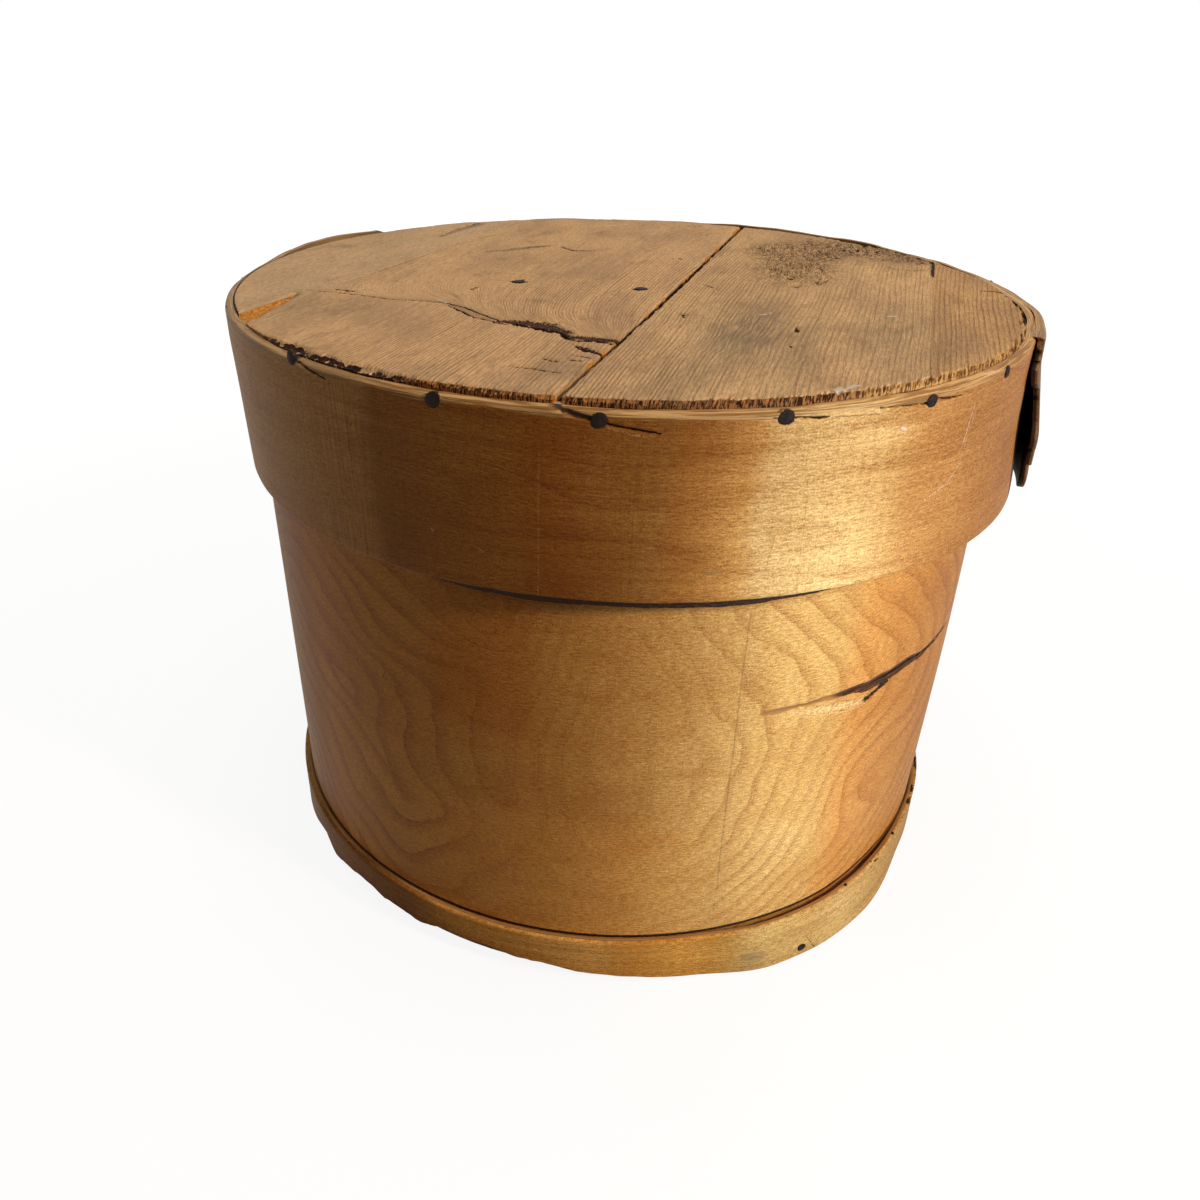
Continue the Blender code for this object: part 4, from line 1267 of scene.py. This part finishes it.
class Finish(Nodes):
    """One material's nodes, round its Principled shader."""

    def __init__(self, name, roughness, **settings):
        self.material = bpy.data.materials.new(name)
        super().__init__(self.material)
        self.shader = self.tree.nodes["Principled BSDF"]
        self.plug(self.shader.inputs["Roughness"], roughness)
        for socket, value in settings.items():
            self.plug(self.shader.inputs[socket.replace("_", " ")], value)

    def field(self, name, output="Fac"):
        return self.node("ShaderNodeAttribute", {}, output, attribute_name=name)

    def noise(self, place, scales, detail=2, roughness=0.5, distortion=0):
        """Noise from 0 to 1 with that many swells to the metre along each axis."""
        scaled = self.vector("MULTIPLY", {0: place, 1: scales})
        inputs = {"Vector": scaled, "Scale": 1, "Detail": detail, "Roughness": roughness}
        return self.node("ShaderNodeTexNoise", {**inputs, "Distortion": distortion})

    def mix(self, share, first, second, blend="MIX"):
        inputs = {0: share, 6: first, 7: second}
        return self.node("ShaderNodeMix", inputs, 2, data_type="RGBA", blend_type=blend)

    def total(self, *terms):
        """The sum of socket and weight pairs."""
        result = 0
        for socket, weight in terms:
            result = self.math("MULTIPLY_ADD", socket, weight, result)
        return result

    def toned(self, colour, tone):
        """Lightens or darkens a wood's colour, which reddens as it darkens."""
        tone = self.math("MAXIMUM", tone, 0.05)
        powers = {place: self.math("POWER", tone, power) for place, power in enumerate(TONE_POWERS)}
        factors = self.node("ShaderNodeCombineXYZ", powers)
        return self.vector("MULTIPLY", {0: colour, 1: factors})

    def stroke(self, place, points, half_width):
        """1 on a thin line through points of a surface, and 0 past its half width."""
        nearest = 1
        for start, end in zip(points, points[1:]):
            length = Vector((end[0] - start[0], end[1] - start[1], 0))
            away = self.vector("SUBTRACT", {0: place, 1: (start[0], start[1], 0)})
            share = self.vector("DOT_PRODUCT", {0: away, 1: tuple(length / length.length_squared)}, 1)
            share = self.math("ADD", share, 0, clamp=True)
            along = self.vector("SCALE", {0: tuple(length), 3: share})
            nearest = self.math("MINIMUM", self.vector("DISTANCE", {0: away, 1: along}, 1), nearest)
        return self.span(nearest, 0.4 * half_width, half_width, 1, 0)

    def finish(self, colour, bumps):
        """Joins the colour, and as a bump the sum of sockets with their heights in millimetres."""
        self.plug(self.shader.inputs["Base Color"], colour)
        height = self.total(*((socket, tall * MM) for socket, tall in bumps))
        bump = self.node("ShaderNodeBump", {"Strength": 1, "Distance": 1, "Height": height})
        self.plug(self.shader.inputs["Normal"], bump)
        return self.material


WOOD_GLOSS = 0.2
HOOP_GLOSS = 0.06
PINE_GLOSS = 0.1
FLECK_SHARE, MOTTLE_SHARE = 1.5, 1.7
TONE_POWERS = (0.85, 1.2, 1.6)
STROKE_SHAKE = 1.6 * MM
WOOD_GLOSS_TINT = (1, 0.72, 0.42)
IRON_GLOSS = 0.15
FRESH_WOOD = (0.66, 0.31, 0.065)
TORN_VENEER = (0.78, 0.53, 0.22)
FRESH_SHADE = (0.42, 0.16, 0.03)
# These crack colours also serve as painted shade in gaps and pits and as the rim's painted shadow
CRACK_AND_SHADE_DARK = (0.014, 0.007, 0.005)
CRACK_AND_SHADE_RED = (0.1, 0.03, 0.014)
# The tooth gap colour is painted shade between the torn teeth of the sawn ends
TOOTH_GAP, TOOTH_WOOD = (0.035, 0.011, 0.006), (0.38, 0.17, 0.06)
SUNNY_GAP, SUNNY_WOOD = (0.2, 0.085, 0.03), (0.62, 0.36, 0.13)
SUNNY_ACROSS = (118 * MM, 150 * MM)
STROKE_DARK, STROKE_BROWN = (0.016, 0.007, 0.004), (0.22, 0.1, 0.032)
STROKE_LIGHT, STROKE_SCRATCH, STROKE_GREEN = (0.8, 0.53, 0.26), (0.8, 0.6, 0.46), (0.12, 0.15, 0.1)
DUST = (0.62, 0.54, 0.44)
EDGE_WOOD, EDGE_SHADE, EDGE_DIRT = (0.68, 0.43, 0.19), (0.24, 0.12, 0.04), (0.24, 0.155, 0.08)
GREY_STAIN = (0.14, 0.115, 0.085)
TORN_DARK, TORN_RED, TORN_LIGHT = (0.012, 0.005, 0.004), (0.075, 0.024, 0.01), (0.34, 0.15, 0.055)
TORN_TAIL = (0.36, 0.165, 0.05)
# The wall colour is painted shade on the boards' side walls
WRINKLE_DARK, WALL_SHADE = (0.06, 0.03, 0.016), (0.035, 0.014, 0.008)
IRON_DARK, IRON_RUST = (0.01, 0.007, 0.006), (0.035, 0.018, 0.011)
ROUGH_PINE = ((0.5, 0.32, 0.17), (0.3, 0.16, 0.07), (0.33, 0.24, 0.15))
# Each veneer's light, brown and red wood, and its inside
SIDE_COLOURS = ((0.64, 0.35, 0.105), (0.53, 0.26, 0.068), (0.45, 0.18, 0.04), (0.58, 0.37, 0.17))
RIM_COLOURS = ((0.64, 0.35, 0.115), (0.5, 0.245, 0.07), (0.4, 0.16, 0.036), (0.4, 0.27, 0.15))
HOOP_COLOURS = ((0.62, 0.365, 0.12), (0.5, 0.27, 0.075), (0.38, 0.19, 0.05), (0.55, 0.35, 0.16))
# Each lid board's early, late and grey wood, and the contrast of its lines
LID_WOODS = (
    (((0.61, 0.41, 0.235), (0.34, 0.19, 0.09), (0.48, 0.335, 0.2)), 0.9),
    (((0.65, 0.415, 0.22), (0.22, 0.11, 0.05), (0.43, 0.275, 0.16)), 0.95),
    (((0.67, 0.44, 0.23), (0.22, 0.11, 0.048), (0.42, 0.27, 0.155)), 1),
    (((0.59, 0.36, 0.175), (0.2, 0.1, 0.044), (0.38, 0.235, 0.13)), 0.95),
)


def overlays(finish, colour, place, fresh_wood):
    """Lays the stains, fresh wood, dust, and the dark of cracks and painted shade over a wood's colour, with
    ragged edges.
    """
    noise, span, mix, field, total = finish.noise, finish.span, finish.mix, finish.field, finish.total
    speck = noise(place, (420, 1300, 400), 3)
    crumbs = noise(place, (900, 900, 400), 2, 0.7)
    streak = noise(place, (60, 900, 60), 2)
    colour = mix(finish.times(field("stain"), span(streak, 0.3, 0.6, 0.35, 1)), colour, GREY_STAIN)
    fresh = mix(span(speck, 0.4, 0.6), fresh_wood, FRESH_SHADE)
    colour = mix(span(total((field("fresh"), 1), (crumbs, 0.8)), 0.72, 0.95), colour, fresh)
    colour = mix(span(total((field("pale"), 1), (crumbs, 0.6)), 0.66, 0.84), colour, DUST)
    deep = mix(span(speck, 0.45, 0.75), CRACK_AND_SHADE_DARK, CRACK_AND_SHADE_RED)
    return mix(span(total((field("dark"), 1), (crumbs, 0.9)), 0.68, 0.86), colour, deep)


def growth_figure(finish, place):
    """The growth lines of a peeled sheet: their soft line, their sharp edge and how strong they are."""
    noise, span = finish.noise, finish.span
    wobble = noise(place, (210, 420, 1))
    saw = finish.math("FRACT", finish.math("MULTIPLY_ADD", wobble, 0.12, finish.field("figure")))
    ebb = span(noise(place, (26, 26, 0.6)), 0.38, 0.62, 0.5, 1)
    line = finish.times(span(saw, 0, 0.1), span(saw, 0.12, 0.62, 1, 0))
    sharp = finish.times(span(saw, 0.02, 0.07), span(saw, 0.09, 0.16, 1, 0))
    return line, sharp, finish.times(finish.field("lines"), ebb)


def drawn_strokes(finish, colour, place, mottle, strokes):
    """Draws thin marks over a wood, a little shaken. Broken ones show only in places."""
    shaken = finish.node("ShaderNodeTexNoise", {"Vector": place, "Scale": 260, "Detail": 2}, 1)
    shaken = finish.vector("SUBTRACT", {0: shaken, 1: (0.5, 0.5, 0.5)})
    shaken = finish.vector("ADD", {0: place, 1: finish.vector("SCALE", {0: shaken, 3: STROKE_SHAKE})})
    for points, half_width, stroke_colour, share, broken in strokes:
        stroke = finish.times(finish.stroke(shaken, points, half_width * MM), share)
        if broken:
            stroke = finish.times(stroke, finish.span(mottle, 0.44, 0.54))
        colour = finish.mix(stroke, colour, stroke_colour)
    return colour


def veneer_finish(name, colours, streaks, hatch, strokes=(), gloss=WOOD_GLOSS):
    """Peeled veneer: growth lines that loop, short flecks, knife checks across and soft blotches."""
    light, brown, red, inside = colours
    finish = Finish(name, 0.55, Specular_IOR_Level=gloss, Specular_Tint=WOOD_GLOSS_TINT)
    noise, span, mix, times = finish.noise, finish.span, finish.mix, finish.times
    field, total = finish.field, finish.total
    place = field("grain", "Vector")
    depth = finish.node("ShaderNodeSeparateXYZ", {0: place}, 2)
    clouds = noise(place, (9, 16, 0.6), 3, 0.6)
    blotches = noise(place, (22, 90, 0.6), 3, 0.6, 0.6)
    long_streaks = noise(place, (14, 420, 3), 3, 0.6)
    flecks = noise(place, (300, 1200, 3), 2, 0.6)
    mottle = noise(place, (1200, 1450, 3), 2, 0.7)
    checks = noise(place, (1000, 20, 3))
    check_zones = span(noise(place, (22, 7, 0.6)), 0.38, 0.66, 0.25, 1)
    line, sharp, strength = growth_figure(finish, place)
    figure = times(finish.math("ADD", total((line, -0.3), (sharp, -0.14)), 0.12), strength)

    colour = mix(span(clouds, 0.32, 0.7), light, brown)
    colour = mix(times(span(blotches, 0.5, 0.78), 0.55), colour, red)
    colour = mix(times(line, strength, 0.4), colour, red)
    colour = mix(1, colour, field("tint", "Color"), "MULTIPLY")
    hatched = finish.math("MULTIPLY_ADD", field("hatched"), 2, 1)
    checked = times(finish.math("SUBTRACT", checks, 0.5), check_zones, hatched)
    shades = (long_streaks, streaks), (flecks, FLECK_SHARE), (mottle, MOTTLE_SHARE)
    shades += (checked, hatch), (figure, 1)
    level = 1 - 0.5 * (streaks + FLECK_SHARE + MOTTLE_SHARE)
    colour = finish.toned(colour, finish.math("ADD", total(*shades), level))

    layers = noise(place, (22, 1300, 9), 3, 0.6)
    edge = mix(span(layers, 0.44, 0.55), EDGE_WOOD, EDGE_SHADE)
    edge = mix(times(field("hatched"), 0.55), edge, EDGE_DIRT)
    colour = mix(times(field("bare"), 0.8), colour, edge)
    colour = mix(span(depth, 0.02, 0.12), colour, edge)
    colour = mix(span(depth, 0.9, 0.99), colour, inside)
    strands = noise(place, (90, 1500, 60), 3, 0.6)
    deep = mix(span(strands, 0.4, 0.5), TORN_DARK, TORN_RED)
    deep = mix(span(strands, 0.6, 0.7), deep, TORN_LIGHT)
    torn = mix(span(field("deep"), 0.08, 0.3), TORN_TAIL, deep)
    colour = mix(span(total((field("torn"), 1), (flecks, 0.6)), 0.55, 0.7), colour, torn)
    colour = overlays(finish, colour, place, TORN_VENEER)
    colour = drawn_strokes(finish, colour, place, mottle, strokes)
    ragged = times(field("rough"), flecks)
    bumps = ((flecks, 0.2), (mottle, 0.12), (long_streaks, 0.12), (ragged, 0.5), (sharp, -0.05))
    return finish.finish(colour, bumps)


def pine_wood(finish, place, rings, colours, line_share):
    """Growth lines along the grain, fibres, and brown and grey blotches: the colour and its bumps."""
    early, late, grey = colours
    noise, span, mix, times = finish.noise, finish.span, finish.mix, finish.times
    drift = noise(place, (7, 60, 30))
    wander = noise(place, (26, 260, 60))
    saw = finish.math("FRACT", finish.total((rings, 1), (drift, 2.2), (wander, 0.45)))
    late_wood = times(span(saw, 0.35, 0.78), span(saw, 0.86, 0.98, 1, 0))
    late_wood = times(late_wood, span(noise(place, (9, 330, 60), 1), 0.3, 0.65, 0.3, 1))
    fibres = noise(place, (55, 2600, 900), 3, 0.65)
    flecks = noise(place, (240, 1500, 900), 2, 0.6)
    clouds = noise(place, (11, 24, 10), 3, 0.6, 0.4)
    dirt = noise(place, (30, 70, 30), 4, 0.65, 0.5)
    lines = times(late_wood, span(clouds, 0.25, 0.65, 0.35, 1), *line_share)
    colour = mix(lines, early, late)
    colour = mix(times(span(clouds, 0.4, 0.66), 0.65), colour, grey)
    colour = mix(times(span(dirt, 0.52, 0.72), 0.35), colour, late)
    tone = finish.math("ADD", finish.total((fibres, 1.1), (flecks, 1.2)), -0.15)
    colour = finish.vector("SCALE", {0: colour, 3: tone})
    return colour, ((lines, 0.07), (fibres, 0.22), (flecks, 0.16))


def plain_pine_finish(name, pitch, turn):
    """Rough pine of the boards that hardly show, with its grain turned that far from +X."""
    finish = Finish(name, 0.8, Specular_IOR_Level=PINE_GLOSS, Specular_Tint=WOOD_GLOSS_TINT)
    local = finish.node("ShaderNodeTexCoord", {}, "Object")
    turned = {"Vector": local, "Rotation": (0, 0, -math.radians(turn))}
    place = finish.node("ShaderNodeVectorRotate", turned, rotation_type="EULER_XYZ")
    across = finish.node("ShaderNodeSeparateXYZ", {0: place}, 1)
    rings = finish.times(across, 1 / (pitch * MM))
    return finish.finish(*pine_wood(finish, place, rings, ROUGH_PINE, (0.6,)))


def lid_pine_finish(name, colours, contrast):
    """Weathered pine of the lid, with crumbled ends, a wrinkled patch and cracks."""
    finish = Finish(name, 0.8, Specular_IOR_Level=PINE_GLOSS, Specular_Tint=WOOD_GLOSS_TINT)
    noise, span, mix, times, field = finish.noise, finish.span, finish.mix, finish.times, finish.field
    place = field("grain", "Vector")
    across = finish.node("ShaderNodeSeparateXYZ", {0: place}, 1)
    depth = finish.node("ShaderNodeSeparateXYZ", {0: place}, 2)
    colour, bumps = pine_wood(finish, place, field("rings"), colours, (contrast, field("lines")))
    flecks = bumps[-1][0]
    # The teeth of the broken ends, with painted shade between them and painted sunlight on them further
    # across
    tooth = noise(place, (110, 1250, 250), 2, 0.7)
    crisp = span(tooth, 0.44, 0.54)
    sunny = mix(crisp, SUNNY_GAP, SUNNY_WOOD)
    bare = mix(span(across, *SUNNY_ACROSS), mix(crisp, TOOTH_GAP, TOOTH_WOOD), sunny)
    colour = mix(span(finish.total((field("teeth"), 1), (tooth, 0.8)), 0.6, 0.8), colour, bare)
    wrinkle = noise(place, (190, 430, 60), 3, 0.6, 1)
    stroke = span(finish.math("ABSOLUTE", finish.math("SUBTRACT", wrinkle, 0.5)), 0.03, 0.1, 1, 0)
    worn_wood = field("rough")
    colour = mix(times(worn_wood, 0.2), colour, colours[2])
    stroke = times(stroke, worn_wood, span(flecks, 0.4, 0.5), 0.85)
    colour = mix(stroke, colour, WRINKLE_DARK)
    # Painted shade on the boards' side walls, in their joints and gaps
    walls = times(span(depth, 0.6 * MM, 1.4 * MM), span(depth, 7 * MM, 9 * MM, 1, 0))
    colour = overlays(finish, mix(walls, colour, WALL_SHADE), place, FRESH_WOOD)
    return finish.finish(colour, (*bumps, (times(wrinkle, worn_wood), 1.6)))


def iron_finish():
    """Rusty nail iron."""
    finish = Finish("old_iron", 0.7, Specular_IOR_Level=IRON_GLOSS)
    place = finish.node("ShaderNodeTexCoord", {}, "Object")
    rust = finish.noise(place, (420, 420, 420), 3, 0.65)
    pits = finish.noise(place, (1300, 1300, 1300))
    colour = finish.mix(finish.span(rust, 0.42, 0.68), IRON_DARK, IRON_RUST)
    return finish.finish(colour, ((rust, 0.4), (pits, 0.15)))


def set_finish(piece, material):
    piece.data.materials.clear()
    piece.data.materials.append(material)


# Stage

KEY_ANGLE = -34
KEY_ELEVATION = 30
KEY_DISTANCE = 1.8
KEY_SIDE = 0.2
KEY_POWER = 15.9
KEY_COLOUR = (1, 0.8, 0.56)
STRIP_ANGLE = -62
STRIP_DISTANCE = 0.75
STRIP_SIDES = (0.05, 0.34)
STRIP_MIDDLE = 0.14
STRIP_SPREAD = 22
STRIP_POWER = 0.17
STRIP_COLOUR = (0.64, 0.81, 1)
SKY_HEIGHT = 1.8
SKY_SIDE = 0.9
SKY_POWER = 11.8
SKY_COLOUR = (1, 0.97, 0.92)
FILL_STRENGTH = 0.08
FILL_COLOUR = (1, 0.66, 0.36)
FLOOR_COLOUR = 0.12
FLOOR_GLOW = 0.9
FLOOR_SIDE = 30
FLOOR_FADE = (0.35, 1.6)
WHITE = (1, 1, 1)


def add_lamp(name, place, back, sides, power, colour, spread=180):
    """A soft oblong lamp, which shines away from its back."""
    lamp = bpy.data.lights.new(name, "AREA")
    lamp.shape = "RECTANGLE"
    lamp.size, lamp.size_y = sides
    lamp.energy = power
    lamp.color = colour
    lamp.spread = math.radians(spread)
    holder = bpy.data.objects.new(name, lamp)
    holder.location = place
    holder.rotation_euler = back.to_track_quat("Z", "Y").to_euler()
    bpy.context.scene.collection.objects.link(holder)


def build_lamps():
    angle, elevation = math.radians(KEY_ANGLE), math.radians(KEY_ELEVATION)
    flat = math.cos(elevation)
    way = Vector((flat * math.cos(angle), flat * math.sin(angle), math.sin(elevation)))
    place = Vector((0, 0, BOX_TOP / 2)) + way * KEY_DISTANCE
    add_lamp("key", place, way, (KEY_SIDE, KEY_SIDE), KEY_POWER, KEY_COLOUR)
    angle = math.radians(STRIP_ANGLE)
    way = Vector((math.cos(angle), math.sin(angle), 0))
    place = Vector((0, 0, STRIP_MIDDLE)) + way * STRIP_DISTANCE
    add_lamp("strip", place, way, STRIP_SIDES, STRIP_POWER, STRIP_COLOUR, STRIP_SPREAD)
    up = Vector((0, 0, 1))
    add_lamp("sky", up * SKY_HEIGHT, up, (SKY_SIDE, SKY_SIDE), SKY_POWER, SKY_COLOUR)


def seen_rays(nodes):
    """1 for camera, mirror and glass rays, which see the stage white."""
    names = ("Is Camera Ray", "Is Glossy Ray", "Is Transmission Ray")
    camera, mirror, glass = (nodes.node("ShaderNodeLightPath", {}, name) for name in names)
    return nodes.math("MAXIMUM", nodes.math("MAXIMUM", camera, mirror), glass)


def build_world():
    """A weak warm fill, which is plain white where it is seen."""
    world = bpy.data.worlds.new("studio")
    bpy.context.scene.world = world
    nodes = Nodes(world)
    fill = nodes.node("ShaderNodeBackground", {"Color": FILL_COLOUR, "Strength": FILL_STRENGTH})
    seen = nodes.node("ShaderNodeBackground", {"Color": WHITE})
    mixed = nodes.node("ShaderNodeMixShader", {0: seen_rays(nodes), 1: fill, 2: seen})
    nodes.plug(nodes.tree.nodes["World Output"].inputs[0], mixed)


def floor_finish():
    """A grey floor that keeps the object's shadow and glows white where it is seen away from it."""
    finish = Finish("floor", 0.9, Base_Color=(FLOOR_COLOUR, FLOOR_COLOUR, FLOOR_COLOUR), Emission_Color=WHITE)
    place = finish.node("ShaderNodeTexCoord", {}, "Object")
    fade = finish.span(finish.vector("LENGTH", {0: place}, 1), *FLOOR_FADE, FLOOR_GLOW)
    finish.plug(finish.shader.inputs["Emission Strength"], finish.times(seen_rays(finish), fade))
    return finish.material


def build_stage():
    bpy.context.scene.view_settings.view_transform = "Standard"
    build_lamps()
    build_world()
    mesh = bpy.data.meshes.new("floor")
    half = FLOOR_SIDE / 2
    corners = [(-half, -half, 0), (half, -half, 0), (half, half, 0), (-half, half, 0)]
    mesh.from_pydata(corners, [], [(0, 1, 2, 3)])
    floor = bpy.data.objects.new("floor", mesh)
    floor.location.z = -FIT_GAP
    bpy.context.scene.collection.objects.link(floor)
    mesh.materials.append(floor_finish())


# Assembly


def bevelled(node, width, segments):
    bevel = node.modifiers.new("worn", "BEVEL")
    bevel.width = width
    bevel.segments = segments
    bevel.limit_method = "ANGLE"


def dress_nails(material):
    for name, node in NODES.items():
        if "nail" in name and not name.startswith(("rim_nail", "hoop_nail")):
            set_finish(node, material)
            bevelled(node, 0.25 * MM, 2)


def dress_plain_boards():
    rough = plain_pine_finish("rough_pine", 3.4, 10)
    cleat = plain_pine_finish("cleat_pine", 2.6, -14.7)
    for name in ("bottom_board_back", "bottom_board_middle", "bottom_board_front", "lid_cleat"):
        set_finish(NODES[name], cleat if name == "lid_cleat" else rough)
        bevelled(NODES[name], 0.8 * MM, 3)


# Thin marks: pixels, half width in millimetres, colour, how much they cover and whether they are broken
SIDE_STROKES = (
    (((751, 612), (742, 680), (735, 740), (727, 800), (720, 860), (717, 890)), 0.6, STROKE_BROWN, 0.7, True),
    (((757, 612), (747, 690), (739, 760), (730, 840)), 0.4, STROKE_LIGHT, 0.4, True),
    (((922, 654), (936, 640), (943, 629), (950, 616)), 0.5, STROKE_DARK, 0.9, False),
    (((765, 714), (800, 706), (822, 701)), 0.5, STROKE_BROWN, 0.7, False),
    (((790, 713), (824, 710), (850, 705), (864, 702)), 2.2, TORN_VENEER, 0.6, True),
    (((802, 717), (842, 712), (862, 706)), 0.8, TORN_VENEER, 0.6, True),
    (((852, 702), (849, 708)), 0.3, STROKE_DARK, 0.8, False),
    (((840, 711), (845, 710)), 0.3, STROKE_DARK, 0.7, False),
    (((385, 671), (383, 677)), 0.35, STROKE_DARK, 0.8, False),
    (((392, 683), (394, 686)), 0.3, STROKE_SCRATCH, 0.8, False),
    (((506, 866), (517, 872), (526, 876)), 0.3, STROKE_SCRATCH, 0.7, True),
)
RIM_STROKES = (
    (((548, 405), (562, 411), (578, 416), (594, 420)), 1.2, STROKE_DARK, 1, False),
    (((606, 424), (622, 428), (647, 432), (660, 434)), 0.5, STROKE_DARK, 0.95, False),
    (((606, 428), (630, 434), (655, 437)), 0.5, STROKE_LIGHT, 0.4, True),
    (((796, 418), (812, 418), (829, 417)), 0.5, STROKE_DARK, 0.95, False),
    (((828, 417), (880, 414)), 0.35, STROKE_BROWN, 0.7, False),
    (((774, 418), (783, 418)), 0.4, STROKE_DARK, 0.8, False),
    (((779, 413), (787, 410), (796, 412)), 0.4, STROKE_DARK, 0.8, False),
    (((880, 408), (906, 406), (931, 403)), 0.4, STROKE_DARK, 0.85, False),
    (((938, 399), (961, 396)), 0.45, STROKE_DARK, 0.85, False),
    (((988, 375), (1004, 370)), 0.7, STROKE_LIGHT, 0.9, True),
    (((296, 362), (310, 371), (325, 379)), 0.7, STROKE_DARK, 0.9, False),
    (((261, 338), (275, 347), (288, 355)), 0.6, STROKE_LIGHT, 0.6, True),
    (((264, 344), (274, 350), (285, 356)), 0.4, STROKE_DARK, 0.7, True),
    (((975, 403), (968, 425), (961, 445)), 0.45, STROKE_SCRATCH, 0.85, True),
    (((977, 408), (966, 437), (958, 463)), 0.3, STROKE_SCRATCH, 0.7, True),
    (((958, 463), (945, 482), (922, 499)), 0.45, STROKE_SCRATCH, 0.85, True),
    (((902, 428), (906, 429)), 0.9, STROKE_SCRATCH, 0.9, False),
    (((430, 529), (432, 531)), 0.5, STROKE_SCRATCH, 0.8, False),
    (((478, 549), (484, 552)), 0.3, STROKE_SCRATCH, 0.7, True),
    (((389, 514), (398, 518)), 0.4, STROKE_DARK, 0.8, False),
    (((704, 573), (722, 572)), 0.7, STROKE_GREEN, 0.7, True),
    (((639, 440), (627, 604)), 0.5, STROKE_BROWN, 0.5, True),
    (((539, 452), (538, 597)), 0.4, STROKE_LIGHT, 0.25, True),
    (((775, 535), (765, 570)), 0.4, STROKE_BROWN, 0.6, True),
    (((808, 495), (795, 590)), 0.4, STROKE_BROWN, 0.5, True),
    (((370, 443), (372, 562)), 0.6, STROKE_BROWN, 0.5, True),
)
HOOP_STROKES = ((((801, 930), (808, 942)), 0.35, STROKE_DARK, 0.8, False),)


def on_strip(strokes, strip):
    return [(strip.line(pixels), *rest) for pixels, *rest in strokes]


iron = iron_finish()
hoop = build_hoop()
rim = build_rim()
side_wood = veneer_finish("side_veneer", SIDE_COLOURS, 0.16, 0.1, on_strip(SIDE_STROKES, SIDE))
rim_wood = veneer_finish("rim_veneer", RIM_COLOURS, 0.7, 0.5, on_strip(RIM_STROKES, RIM))
hoop_wood = veneer_finish("hoop_wood", HOOP_COLOURS, 0.9, 0.25, on_strip(HOOP_STROKES, HOOP), HOOP_GLOSS)
set_finish(build_side(), side_wood)
set_finish(hoop, hoop_wood)
set_finish(rim, rim_wood)
build_nails("hoop_nail", hoop, "box", iron)
build_nails("rim_nail", rim, "lid", iron)
for board_place, wood in enumerate(LID_WOODS):
    set_finish(build_board(board_place), lid_pine_finish(f"pine_{board_place + 1}", *wood))
dress_nails(iron)
dress_plain_boards()
build_stage()
